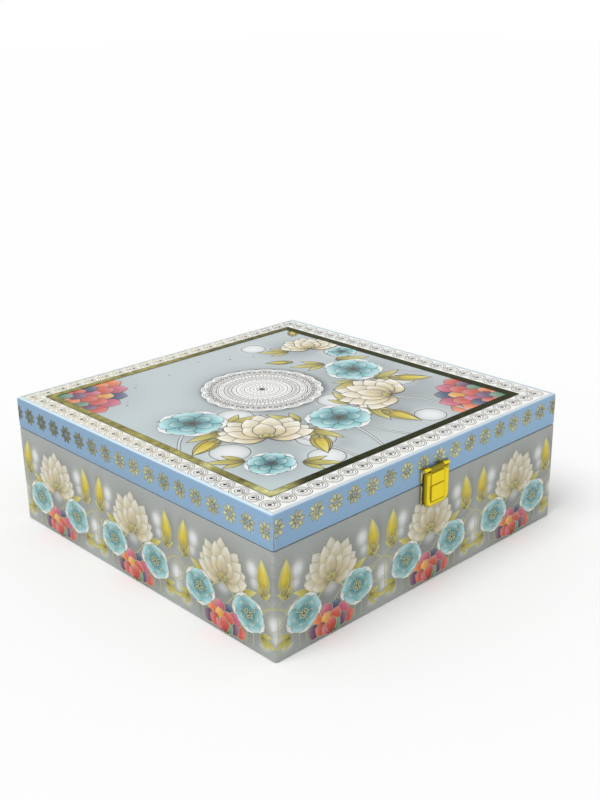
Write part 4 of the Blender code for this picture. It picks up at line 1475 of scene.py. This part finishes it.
@dataclass
class DaisyBand:
    """Foil daisies round the lid, and the line of the paper's joint at the front left corner.

    Drops are how far under the lid's top they run at the start, after one side and three, and at the end.
    """

    band: WallBand
    foil: Material
    joint: Material
    daisies: int = 70
    first: float = 2.7
    last: float = 4.6
    drops: tuple[float, ...] = (8.6, 8.3, 10.3, 10.6)
    radius: float = 5.7
    cut: tuple[float, float] = (1.0, 1.6)
    lap: tuple[float, float] = (0.8, 9.6)
    slot: str = "lid_paper"

    def painted_reflection_tint(self, way: Array) -> Array:
        """How bright the daisies are painted: uneven, and with painted dark reflection at the left side's
        start and the front's end.
        """
        side = self.band.side
        # Painted reflection: the foil is darker at the start of the left side and at the end of the front
        dull = 1 - 0.66 * hump((way - 3 * side) % (4 * side), 100, 3)
        dull = dull - 0.35 * hump(way - side * 0.97, 26)
        return dull * (1 + 0.12 * np.sin(way / 17) + 0.08 * np.sin(way / 5.3))

    def build(self) -> list[Piece]:
        """Print the daisies at equal steps round the band, each turned further, and cut them at the joint.

        Returns:
            The daisies' fill, their loops and the paper's joint.
        """
        low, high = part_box("lid_wrap")
        side = self.band.side
        way = np.linspace(self.first, 4 * side - self.last, self.daisies)
        drop = np.interp(way, np.array([0, 1, 3, 4]) * side, self.drops)
        places = np.stack([way, high.z / MM - drop], -1)
        cut = CutBand(self.band, self.cut[0], 4 * side - self.cut[1])
        made = []
        for name, motif in zip(("lid_daisy_petals", "lid_daisy_loops"), daisy(self.radius)):
            art = Artwork(cut)
            art.stamp(motif, places, np.arange(self.daisies) * 0.05, level=6, tints=self.painted_reflection_tint(way))
            made.append(art.piece(name, self.foil, self.slot))
        lap = Artwork(self.band)
        height = low.z / MM + np.linspace(*self.lap, 12)
        # The dark line is the joint itself; the pale line beside it is a painted highlight on the lapped edge
        for across, width, tone in ((0.9, 0.36, BLUE_PAPER * 0.16), (1.25, 0.3, BLUE_EDGE)):
            line = np.stack([np.full_like(height, across), height], -1)
            lap.stamp(Motif().ribbon(line[None], width, tone, 12), ORIGIN)
        return made + [lap.piece("lid_paper_joint", self.joint, self.slot)]


@dataclass(frozen=True)
class LatchFit:
    """The latch as it is nailed on: a little narrower than the solids, and to the right of the middle.

    Ear is how far the ears' inner ends are from the middle on the solids, and on the piece.
    """

    edge: float = 12.6 * MM
    middle: float = 2.2 * MM
    ear: tuple[float, float] = (8.52 * MM, 6.05 * MM)
    solid_edge: float = 13.5 * MM

    def __call__(self, x: Array) -> Array:
        """Where a place across the solids' latch goes: middle + sign(x) * steps(|x|), by straight steps."""
        given, taken = (0.0, self.ear[0], self.solid_edge), (0.0, self.ear[1], self.edge)
        return self.middle + np.sign(x) * np.interp(np.abs(x), given, taken)


def upright(flat: Array, depth: Array | float) -> Array:
    """Flat (x, z) points stood up at a depth: (x, depth, z)."""
    return np.stack([flat[..., 0], np.broadcast_to(depth, flat.shape[:-1]), flat[..., 1]], -1)


def evenly(path: Array, count: int) -> Array:
    """A path of as many points, spread evenly along it, straight between its own."""
    length = np.concatenate([[0], np.cumsum(np.linalg.norm(np.diff(path, axis=0), axis=1))])
    spread = np.linspace(0, length[-1], count)
    return np.stack([np.interp(spread, length, part) for part in path.T], -1)


@dataclass
class PressedFlap:
    """The latch's flap: a pressed brass shell with a raised border, two panels and the knuckle it hangs on.

    The border's distances from the outline are where it starts to rise, is up, starts to fall and is down.
    The ridge is its half width, its height above the floor and its radius.
    """

    finish: Material
    fit: LatchFit
    sheet: float = 0.6 * MM
    edge: float = 1.1 * MM
    wall: float = 0.85 * MM
    half: float = 11.1 * MM
    corner: float = 5.5 * MM
    bore: float = 0.7 * MM
    neck: float = 0.3 * MM
    back_of_axis: float = 0.4 * MM
    lip: float = 0.15 * MM
    panel_half: float = 5.75 * MM
    panel_drop: float = 0.3 * MM
    panel_height: float = 18.8 * MM
    panel_rises: tuple[float, float] = (0.35 * MM, 0.62 * MM)
    panel_gap: float = 0.25 * MM
    split_share: float = 0.46
    ease: float = 0.3 * MM
    border: Box = (0.5 * MM, 2.2 * MM, 3.0 * MM, 4.6 * MM)
    border_rise: float = 0.3 * MM
    # The painted dark band of shade down the left side: where it is full and where it is gone
    shade: tuple[float, float] = (0.5 * MM, 2.2 * MM)
    knuckle_half: float = 5.8 * MM
    knuckle_turn: float = math.radians(285)
    knuckle_ease: float = 0.1 * MM
    ridge: tuple[float, float, float] = (4.0 * MM, 57.2 * MM, 0.6 * MM)
    rows: int = 110

    def __post_init__(self) -> None:
        """Take the pin's axis and the flap's foot from the frame, and start the mesh."""
        self.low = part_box("latch_flap")[0]
        self.axis = sum(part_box("latch_pin"), Vector()) / 2
        self.knuckle = self.bore + self.sheet
        self.front, self.back = self.axis.y - self.knuckle, self.axis.y + self.back_of_axis
        self.inner = self.front + self.wall
        self.top, self.foot = self.axis.z - self.knuckle - self.neck, self.low.z
        self.skin = Skin()

    def build(self) -> Piece:
        """The flap: its face, rim, inner face, knuckle and snap ridge, moved to the fit's middle."""
        self.add_face()
        self.add_rim()
        # The inner face is painted in shade
        self.skin.add(upright(self.patch(self.sheet), self.inner), grime=0.3)
        self.add_knuckle()
        self.add_ridge()
        self.skin.points = [part + (self.fit.middle, 0, 0) for part in self.skin.points]
        return stand_in(self.skin.build("pressed_latch_flap", self.finish, True), "latch_flap", "latch_brass")

    def loop(self, inset: float) -> list[Array]:
        """The outline as four edges that meet at its top corners and halfway round its lower corners.

        Each lower corner is a quarter circle, split at 45 degrees. Points are spread evenly along each edge.
        """
        half, top, foot, radius = self.half - inset, self.top - inset, self.foot + inset, self.corner - inset
        arc = radius * around(np.linspace(0, math.pi / 4, 12))
        side = np.array([(half, top), (half, foot + radius)])
        bend = np.stack([half - radius + arc[:, 0], foot + radius - arc[:, 1]], -1)
        low = np.stack([half - radius + arc[:, 1], foot + radius - arc[:, 0]], -1)[::-1]
        right = evenly(np.concatenate([side, bend[1:]]), self.rows)
        bottom = evenly(np.concatenate([low, low[::-1] * (-1, 1)]), self.rows)
        across = np.linspace(-half, half, self.rows)
        return [np.stack([across, np.full_like(across, top)], -1), right, bottom, right[::-1] * (-1, 1)]

    def patch(self, inset: float) -> Array:
        """A grid inside the outline: the two ruled sheets between opposite edges, less the corners' one."""
        top, right, bottom, left = self.loop(inset)
        left, bottom = left[::-1], bottom[::-1]
        s = np.linspace(0, 1, self.rows)[None, :, None]
        t = np.linspace(0, 1, self.rows)[:, None, None]
        ruled = mixed(left[:, None], right[:, None], s) + mixed(top[None], bottom[None], t)
        return ruled - mixed(mixed(top[0], top[-1], s), mixed(bottom[0], bottom[-1], s), t)

    def shaded(self, x: Array) -> Array:
        """How far a place is in the painted dark band of shade down the left side: 1 at the edge, and 0 past
        the shade.
        """
        return 1 - smooth(*self.shade, x + self.half)

    def add_face(self) -> None:
        """Add a grid raised by the border and the panels, with painted shade at the edge, in the hollows and
        down the left side.
        """
        flat = self.patch(self.edge)
        x, z = flat[..., 0], flat[..., 1]
        rise, grime = self.relief(x, z)
        beside_corner = np.maximum(np.abs(x) - self.half + self.corner, 0)
        to_corner = self.corner - np.hypot(beside_corner, np.maximum(self.foot + self.corner - z, 0))
        rim = np.minimum(np.minimum(self.half - np.abs(x), z - self.foot), to_corner)
        from_panel = np.abs(x) - self.panel_half
        border = smooth(*self.border[:2], rim) * (1 - smooth(*self.border[2:], rim))
        rise = rise + self.border_rise * border * (from_panel > 0.4 * MM)
        # Painted shade along the face's edge and in the channel inside the border, and at least the dark band
        # down the left
        channel = hump(rim - 4.4 * MM, 0.6 * MM) * (from_panel > 0.3 * MM)
        painted_shade = 0.3 * (1 - smooth(1.0 * MM, 1.7 * MM, rim)) + 0.1 * channel
        grime = np.clip(grime + np.maximum(painted_shade, 0.6 * self.shaded(x)), 0, 1)
        self.skin.add(upright(flat, self.front - np.minimum(rise, self.front - self.low.y)), grime=grime)

    def relief(self, x: Array, z: Array) -> tuple[Array, Array]:
        """The panels' height, with soft sides, and the painted shade in the lines round them.

        Args:
            x: Across the flap.
            z: Up the flap.

        Returns:
            Metres above the sheet, and painted shade from 0 to 1.
        """
        top = self.top - self.panel_drop
        foot, split = top - self.panel_height, top - self.panel_height * self.split_share
        from_panel, gap, ease = np.abs(x) - self.panel_half, self.panel_gap, self.ease
        across = smooth(0, ease, -from_panel)
        upper = across * smooth(0, ease, top - z) * smooth(0, ease, z - split - gap)
        lower = across * smooth(0, ease, split - gap - z) * smooth(0, ease, z - foot)
        low_side = smooth(0, ease, split + 0.1 * MM - z) * smooth(0, ease, z - foot + 0.5 * MM)
        high_side = smooth(0, ease, z - split) * smooth(-ease, ease, top + 0.5 * MM - z)
        # Painted shade in the lines round the panels: stronger left of the panel than right of it, below the
        # lower panel and in the split
        beside = hump(from_panel - gap, 0.45 * MM) * np.where(x < 0, 1, 0.3)
        below = hump(z - foot + gap, 0.42 * MM) * (from_panel < 0.4 * MM)
        between = hump(z - split, 0.36 * MM) * (from_panel < 0)
        grime = beside * (low_side + 0.7 * high_side) + 0.9 * below + 0.85 * between
        high, higher = self.panel_rises
        return high * upper + higher * lower, np.clip(grime, 0, 1)

    def add_rim(self) -> None:
        """Add loops that bend a quarter circle back to the box, run to the lip and turn in again, each with
        its painted shade.
        """
        angle = np.linspace(0, math.pi / 2, 7)
        insets, depths = self.edge * (1 - np.sin(angle)), self.front + self.edge * (1 - np.cos(angle))
        # A loop's third number is its painted shade, darker as the rim bends back from the face
        loops = [*zip(insets, depths, 0.28 + 0.4 * angle / angle[-1])]
        loops += [(0.0, self.back - self.lip, 0.75), (self.lip, self.back, 0.9)]
        loops += [(self.sheet, self.back, 0.9), (self.sheet, self.inner, 0.6)]
        rings, loop_shades = [], []
        for inset, depth, painted_shade in loops:
            ring = np.concatenate([edge[:-1] for edge in self.loop(inset)])
            rings.append(upright(ring, depth))
            loop_shades.append(np.maximum(painted_shade, (0.45 + 0.55 * painted_shade) * self.shaded(ring[:, 0])))
        self.skin.add(np.stack(rings), closed=(False, True), grime=np.stack(loop_shades))

    def add_knuckle(self) -> None:
        """Roll the sheet round the pin: both faces turn to the knuckle's end, and flat caps close the sides.

        A face is axis + radius * (-cos, sin) of the angle. Two more points run it down into the flap. The roll
        is painted dark in shade, darkest over its top.
        """
        angle = np.concatenate([np.zeros(2), np.linspace(0, self.knuckle_turn, 44)])
        tail = np.zeros((len(angle), 2))
        tail[:2] = (0.3 * MM, -self.knuckle - 2.2 * MM), (0.03 * MM, -self.knuckle - 1.2 * MM)
        turn = around(angle) * (-1, 1)
        faces = [turn * radius + tail + self.axis.yz for radius in (self.knuckle, self.bore)]
        section = np.concatenate([faces[0], faces[1][::-1]])
        half, ease = self.knuckle_half, self.knuckle_ease
        tube = np.broadcast_arrays([-half, ease - half, half - ease, half], section[:, :1], section[:, 1:])
        # Painted shade: the roll is dark, and darker as it turns over the top
        painted_shade = 0.74 + 0.2 * smooth(0.3, 1.5, np.concatenate([angle, angle[::-1]]))[:, None]
        self.skin.add(np.stack(tube, -1), closed=(True, False), grime=painted_shade)
        strip = np.stack(faces, 1)
        for end in (-half, half):
            # The end caps are painted half in shade
            self.skin.add(np.concatenate([np.full_like(strip[..., :1], end), strip], -1), grime=0.5)

    def add_ridge(self) -> None:
        """Add the ridge that snaps under the catch: a half round bar with pointed ends across the back.

        Its section is y = inner + height * sin(t), z = middle + height * cos(t).
        """
        reach, middle, height = self.ridge
        t = np.linspace(-0.3, math.pi + 0.3, 12)[None, :]
        size = np.array([0.02, 0.8, 1, 1, 0.8, 0.02])[:, None] * height
        x = np.array([-1, -1, -0.95, 0.95, 1, 1])[:, None] * reach + 0 * t
        bar = np.stack([x, self.inner - 0.05 * MM + size * np.sin(t), middle + size * np.cos(t)], -1)
        # The ridge is painted lightly in shade
        self.skin.add(bar, closed=(False, True), grime=0.2)


def lathe(profile: Array, centre: Vector, axis: int, outward: float, facets: int = 40) -> Array:
    """A profile turned about an axis: radius * (cos, sin) across it, and height along it."""
    angle = steps_round(facets)
    across = profile[:, :1] * np.cos(angle), profile[:, :1] * np.sin(angle)
    along = np.broadcast_to(profile[:, 1:] * outward, across[0].shape)
    order = {0: (along, *across), 1: (across[0], along, across[1])}[axis]
    return np.stack(order, -1) + np.array(centre)


@dataclass
class Fastener:
    """A round-headed screw or nail, whose head shows. A recess is the depth of its cross."""

    node: str
    finish: Material
    slot: str
    outward: float
    recess: float = 0.0
    fit: LatchFit | None = None
    rim: float = 0.16 * MM
    dome: float = 0.34 * MM
    shank_share: float = 0.42
    bar_half: float = 0.24 * MM
    bar_share: float = 0.62
    crown_steps: int = 26

    def build(self) -> Piece:
        """Turn the head and shank, and press a cross into a screw's head.

        The head's dome is height * sqrt(1 - 0.96 * (radius share)^2) over a short straight rim.
        """
        low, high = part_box(self.node)
        centre = (low + high) / 2
        if self.fit:
            centre.x = float(self.fit(centre.x))
        head, length = (high.x - low.x) / 2, high.y - low.y
        centre.y = high.y if self.outward > 0 else low.y
        share = np.linspace(0, 1, self.crown_steps)
        reach = np.sqrt(share * (2 - share))
        crown = np.stack([head * reach, -self.dome * (1 - np.sqrt(1 - 0.96 * reach**2))], -1)
        shank, under = head * self.shank_share, -self.dome - self.rim
        rest = [(head, under), (shank, under), (shank, -length + shank), (shank * 0.3, -length), (0, -length)]
        points = lathe(np.concatenate([crown, rest]), centre, 1, self.outward, 48)
        if self.recess:
            dome = points[: self.crown_steps]
            dome[..., 1] -= self.outward * self.cross(dome - np.array(centre), head)
        skin = Skin()
        skin.add(points, closed=(False, True), grime=0.1)
        return stand_in(skin.build(f"{self.node}_turned", self.finish, sewn=True), self.node, self.slot)

    def cross(self, spots: Array, head: float) -> Array:
        """How deep the cross sinks places on the dome: two bars with soft sides and ends."""
        x, z = np.abs(spots[..., 0]), np.abs(spots[..., 2])
        reach = head * self.bar_share
        wide = [smooth(0, 0.1 * MM, self.bar_half - across) for across in (x, z)]
        bars = [wide[0] * smooth(0, 0.15 * MM, reach - z), wide[1] * smooth(0, 0.15 * MM, reach - x)]
        return self.recess * np.maximum(*bars)


@dataclass
class Pin:
    """A steel pin with eased ends, along X."""

    node: str
    finish: Material
    fit: LatchFit | None = None
    ease: float = 0.12 * MM

    def build(self) -> Piece:
        """Turn the pin: a straight run between two short rounded ends."""
        low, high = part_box(self.node)
        if self.fit:
            low.x, high.x = (float(self.fit(end)) for end in (low.x, high.x))
        radius, half, ease = (high.y - low.y) / 2, (high.x - low.x) / 2, self.ease
        bevel = [(radius - ease, half), (radius - 0.3 * ease, half - 0.3 * ease), (radius, half - ease)]
        end = np.array([(0, half), *bevel])
        profile = np.concatenate([end * (1, -1), end[::-1]])
        skin = Skin()
        skin.add(lathe(profile, (low + high) / 2, 0, 1), closed=(False, True), grime=0.05)
        return stand_in(skin.build(f"{self.node}_turned", self.finish, sewn=True), self.node, "pin_steel")


@dataclass
class EasedPlate:
    """A stamped plate or hinge leaf: the frame's own shape with its sharp edges eased.

    A plate with rolls has a finish of its own for them. Its ears are as wide as the flap, and shoulders stand
    beside them.
    """

    node: str
    finish: Material
    slot: str
    ease: float = 0.12 * MM
    fit: LatchFit | None = None
    rolled: Material | None = None
    roll_height: float = 2.7 * MM
    ears: float = 11.1 * MM
    ear_height: float = 1.2 * MM
    ear_depth: float = 0.65 * MM
    shoulder: tuple[float, float] = (0.56 * MM, 1.4 * MM)
    shoulder_under: tuple[float, float] = (0.3 * MM, 0.8 * MM)

    def build(self) -> Piece:
        """Copy the node, merge its points, clear its flat faces' triangles and bevel its edges."""
        mesh = bpy.data.objects[self.node].data.copy()
        with editing(mesh) as bm:
            bmesh.ops.remove_doubles(bm, verts=bm.verts, dist=0.003 * MM)
            bmesh.ops.dissolve_limit(bm, angle_limit=math.radians(2), verts=bm.verts, edges=bm.edges)
        mesh.materials.clear()
        mesh.materials.append(self.finish)
        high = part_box(self.node)[1]
        if self.rolled:
            mesh.materials.append(self.rolled)
            centres = np.empty(len(mesh.polygons) * 3)
            mesh.polygons.foreach_get("center", centres)
            above = centres[2::3] > high.z - self.roll_height
            mesh.polygons.foreach_set("material_index", above.astype(np.int32))
        if self.fit:
            self.narrow(mesh, high)
        mesh.shade_smooth()
        made = in_scene(f"{self.node}_eased", mesh)
        bevel = made.modifiers.new("ease", "BEVEL")
        bevel.width = self.ease
        bevel.segments = 2
        bevel.limit_method = "ANGLE"
        bevel.angle_limit = math.radians(40)
        bevel.harden_normals = True
        return stand_in(made, self.node, self.slot)

    def narrow(self, mesh: bpy.types.Mesh, high: Vector) -> None:
        """Move a latch plate's points to the fit, its ears to the flap's edges, and add the shoulders."""
        spots = np.empty(len(mesh.vertices) * 3)
        mesh.vertices.foreach_get("co", spots)
        x, y, z = spots.reshape(-1, 3).T
        moved = self.fit(x)
        if self.rolled:
            ears = (z > high.z - self.ear_height) | (y < high.y - self.ear_depth)
            moved = np.where(ears, LatchFit(self.ears)(x), moved)
        mesh.vertices.foreach_set("co", np.stack([moved, y, z], -1).ravel())
        if self.rolled:
            self.shoulders(mesh, high)

    def shoulders(self, mesh: bpy.types.Mesh, high: Vector) -> None:
        """Add a block on both sides of the ears, out to the plate's edges."""
        edge, middle = self.fit.edge, self.fit.middle
        size = Matrix.Diagonal((edge - self.ears - 0.1 * MM, *self.shoulder, 1))
        under_y, under_z = self.shoulder_under
        with editing(mesh) as bm:
            for side in (-1, 1):
                place = Vector((middle + side * (edge + self.ears) / 2, high.y - under_y, high.z - under_z))
                bmesh.ops.create_cube(bm, size=1, matrix=Matrix.Translation(place) @ size)


@dataclass
class Latch:
    """The snap latch: the lid's plate with its pin, the flap that hangs on it, the catch plate, and nails."""

    brass: Material
    dull: Material
    steel: Material
    fit: LatchFit = LatchFit()
    pin_fit: LatchFit = LatchFit(12.1 * MM)
    slot: str = "latch_brass"

    def build(self) -> None:
        """Make the latch's pieces, and let each ride on its body."""
        ride_all([PressedFlap(self.brass, self.fit).build()], Body.FLAP)
        ride_all([Pin("latch_pin", self.steel, self.pin_fit).build()], Body.LID)
        for plate, nails, body in (
            ("latch_lid_plate", "latch_plate_nail", Body.LID),
            ("latch_catch_plate", "latch_catch_nail", Body.BASE),
        ):
            rolled = self.brass if body is Body.LID else None
            pieces = [EasedPlate(plate, self.dull, self.slot, fit=self.fit, rolled=rolled)]
            pieces += [Fastener(f"{nails}_{side}", self.brass, self.slot, -1, fit=self.fit) for side in SIDES]
            ride_all([piece.build() for piece in pieces], body)


@dataclass
class Hinge:
    """One butt hinge: a leaf and two screws on each tray, and the pin on the base."""

    side: str
    brass: Material
    steel: Material
    recess: float = 0.3 * MM
    slot: str = "hinge_brass"

    def build(self) -> None:
        """Make the hinge's pieces, and let each ride on its body."""
        for body in (Body.BASE, Body.LID):
            name = f"hinge_{self.side}_{body.value}"
            pieces = [EasedPlate(f"{name}_leaf", self.brass, self.slot)]
            screws = [f"{name}_screw_{end}" for end in SIDES]
            pieces += [Fastener(screw, self.brass, self.slot, 1, self.recess) for screw in screws]
            ride_all([piece.build() for piece in pieces], body)
        ride_all([Pin(f"hinge_{self.side}_pin", self.steel).build()], Body.BASE)


@dataclass
class Studio:
    """The camera at the photograph's angle, soft light, and a white floor.

    Distance, aside and above are in widths of the box: how far off the camera is, and how far it is shifted
    square to its line of sight.
    """

    azimuth: float = math.radians(-43.34)
    elevation: float = math.radians(20.41)
    roll: float = math.radians(-0.97)
    width: float = 0.254
    distance: float = 3.030
    aside: float = 0.035
    above: float = 0.315
    lens: float = 50.17
    sensor: float = 36
    ambient: float = 0.62
    key: float = 1.35
    key_angle: float = math.radians(35)
    key_from: tuple[float, float, float] = (-0.5, 0.0, 0.87)
    floor_half: float = 6
    floor_drop: float = 0.05 * MM

    def camera(self) -> None:
        """Stand the camera off along its line of sight, shifted square to it, and rolled."""
        level = Vector((math.sin(self.azimuth), -math.cos(self.azimuth), 0))
        back = level * math.cos(self.elevation) + Vector((0, 0, math.sin(self.elevation)))
        right = Vector((math.cos(self.azimuth), math.sin(self.azimuth), 0))
        up = back.cross(right)
        tilted_right = right * math.cos(self.roll) + up * math.sin(self.roll)
        tilted_up = up * math.cos(self.roll) - right * math.sin(self.roll)
        place = back * self.distance + tilted_right * self.aside + tilted_up * self.above
        data = bpy.data.cameras.new("photo_camera")
        data.lens = self.lens
        data.sensor_width = self.sensor
        data.sensor_fit = "AUTO"
        made = in_scene("photo_camera", data)
        axes = Matrix((tilted_right, tilted_up, back)).transposed().to_4x4()
        made.matrix_world = Matrix.Translation(place * self.width) @ axes
        bpy.context.scene.camera = made

    def light(self) -> None:
        """A world, white to the camera and in reflections and plainer on the object, and one soft key."""
        world = bpy.data.worlds.new("studio")
        bpy.context.scene.world = world
        graph = NodeGraph(world)
        rays = graph.node("ShaderNodeLightPath").outputs
        rays = [Wire(graph, rays[f"Is {kind} Ray"]) for kind in ("Camera", "Glossy", "Transmission")]
        seen = graph.maths("MAXIMUM", graph.maths("MAXIMUM", *rays[:2]), rays[2])
        strength = self.ambient + (1 - self.ambient) * seen
        glow = graph.node("ShaderNodeBackground", None, {"Color": (1, 1, 1, 1), "Strength": strength})
        graph.node("ShaderNodeOutputWorld", None, {"Surface": Wire(graph, glow.outputs[0])})
        data = bpy.data.lights.new("key", "SUN")
        data.energy = self.key
        data.angle = self.key_angle
        turn = Vector(self.key_from).to_track_quat("Z", "Y")
        in_scene("key", data).matrix_world = turn.to_matrix().to_4x4()

    def floor(self) -> None:
        """A white floor that keeps the object's shadow, just under its foot."""
        made = bpy.data.materials.new("white_floor")
        white = {"Base Color": (1.0, 1.0, 1.0, 1), "Roughness": 1.0, "Specular IOR Level": 0.0}
        NodeGraph(made).surface(white)
        side = np.linspace(-self.floor_half, self.floor_half, 3)
        x, y = np.meshgrid(side, side, indexing="xy")
        skin = Skin()
        skin.add(np.stack([x, y, np.full_like(x, -self.floor_drop)], -1))
        skin.build("studio_floor", made)

    def build(self) -> None:
        """Set up the camera, the light and the floor."""
        bpy.context.scene.view_settings.view_transform = "Standard"
        self.camera()
        self.light()
        self.floor()


@dataclass(frozen=True)
class LidPaper:
    """The lid's paper: light blue, with painted light that makes it stronger along the front and the right and
    painted shade towards the back left, and a painted highlight that makes the top edge paler.

    Its heights are in millimetres: where the painted highlight of the top edge starts and is full, and
    likewise the rim's painted shade.
    """

    way_round: float
    top_edge: tuple[float, float] = (88.25, 88.85)
    rim: tuple[float, float] = (74, 68)

    def __call__(self, spots: Array) -> Array:
        """The paper's colour: blue * (1 + 0.12 * sin(way)) for painted light and shade, mixed with its side's
        highlight ink on the top edge.
        """
        way, height = spots[..., :1], spots[..., 1:]
        # Painted light and shade round the box: lightest at the front right corner, darkest at the back left
        # corner
        painted_light_round = 1 + 0.12 * np.sin(way / self.way_round * TURN)
        side = np.floor(way[..., 0] / self.way_round * 4).astype(int) % 4
        blue = BLUE_PAPER * painted_light_round * (1 - 0.05 * smooth(*self.rim, height))
        return mixed(blue, RIM_HIGHLIGHT_INKS[side], smooth(*self.top_edge, height))


def dress(nodes: list[str], finish: Material) -> None:
    """Give nodes of the frame, which keep their own shapes, their finish."""
    for node in nodes:
        piece = bpy.data.objects[node]
        piece.data.materials.clear()
        piece.data.materials.append(finish)
        LOG.info("%s is %s", node, finish.name)


def ride_all(pieces: list[Piece], body: Body) -> None:
    """Let pieces move with a body, and report them."""
    for piece in pieces:
        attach(piece, body.value)
        LOG.info("%s rides on %s, %d faces", piece.name, body.value, len(piece.data.polygons))


def print_finishes() -> dict[str, Material]:
    """The finishes of the printed layers, with dark lines on the lid and gilt ones on the sides.

    Returns:
        Materials by what they print.
    """
    made = {
        "ground": InkedPaper("printed_top_paper").material(),
        "line": InkedPaper("printed_lines").material(),
        "foil": HotFoil("gold_foil", graze=(0.55, 0.56, 0.47)).material(),
    }
    shared = {"gloss": 0.34, "line_soft": 0.14}
    dark = {"line_colour": tuple(CHARCOAL), "line_metal": 0.0, "edge_shade": 0.16}
    gilt = {"line_colour": tuple(PALE_GOLD * 0.8), "line_metal": 0.5, "edge_shade": 0.2}
    kinds = (("bloom", 0.56, 0.16), ("leaf", 0.56, 0.2), ("fan", 0.56, 0.2), ("stem", 0.42, 0.0))
    for kind, width, veins in kinds:
        top = InkedPaper(f"top_{kind}_print", line_width=width, vein_depth=veins, **shared, **dark)
        side = InkedPaper(f"side_{kind}_print", line_width=width * 0.75, vein_depth=veins, **shared, **gilt)
        made[kind] = top.material()
        made[f"side_{kind}"] = side.material()
    return made


def dress_papers() -> None:
    """Print the base's and the lid's papers, with every layer on them."""
    finishes = print_finishes()
    grey = InkedPaper("printed_side_paper", worn=True).material()
    blue = InkedPaper("blue_printed_paper", gloss=0.32, worn=True).material()
    foil = HotFoil("daisy_foil", roughness=0.34, metallic=0.8, mottle=1.7, darkest=0.6).material()
    walls = WallBand(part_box("base_wrap")[1].x, 2 * MM, 0.2 * MM)
    frieze = SideFrieze(walls, finishes)
    over, edge = 12 * MM, 1 * MM
    base = PaperWrap(Body.BASE, "side_paper", grey, frieze.ground, walls, turn_over=over, edge_radius=edge)
    ride_all([base.build(), *frieze.build()], Body.BASE)
    paint = LidPaper(4 * walls.side)
    lid = PaperWrap(Body.LID, "lid_paper", blue, paint, walls, turn_over=2.8 * MM, edge_radius=1.5 * MM)
    daisies = DaisyBand(walls, foil, finishes["line"])
    ride_all([lid.build(), *LidPicture(finishes).build(), *daisies.build()], Body.LID)


def dress_metal() -> None:
    """Make the latch and both hinges."""
    brass = PlatedMetal("bright_brass", (0.86, 0.66, 0.014), 0.24).material()
    dull = PlatedMetal("dull_brass", (0.46, 0.41, 0.19), 0.36).material()
    steel = PlatedMetal("steel_wire", (0.56, 0.56, 0.55), 0.3).material()
    Latch(brass, dull, steel).build()
    for side in SIDES:
        Hinge(side, brass, steel).build()


def dress_inside() -> None:
    """Give the boards, the linings and the underside, which keep the frame's shapes, their finishes."""
    lining = PlainPaper("lining_paper", tuple(ink(232, 230, 224))).material()
    underside = PlainPaper("underside_paper", tuple(ink(196, 196, 194))).material()
    board = PressedBoard("fibreboard", tuple(ink(172, 140, 102))).material()
    boards = ["base_bottom_board", "lid_top_board"]
    for side in ("front", "back", *SIDES):
        boards += [f"base_{side}_wall", f"lid_{side}_rail"]
    dress(boards, board)
    dress(["base_lining", "base_floor_sheet", "lid_lining", "lid_ceiling_sheet"], lining)
    dress(["base_underside_sheet"], underside)


def main() -> None:
    """Dress the frame, piece by piece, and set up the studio."""
    logging.basicConfig(level=logging.INFO, format="%(name)s: %(message)s")
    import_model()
    dress_papers()
    dress_metal()
    dress_inside()
    Studio().build()


if __name__ == "__main__":
    main()
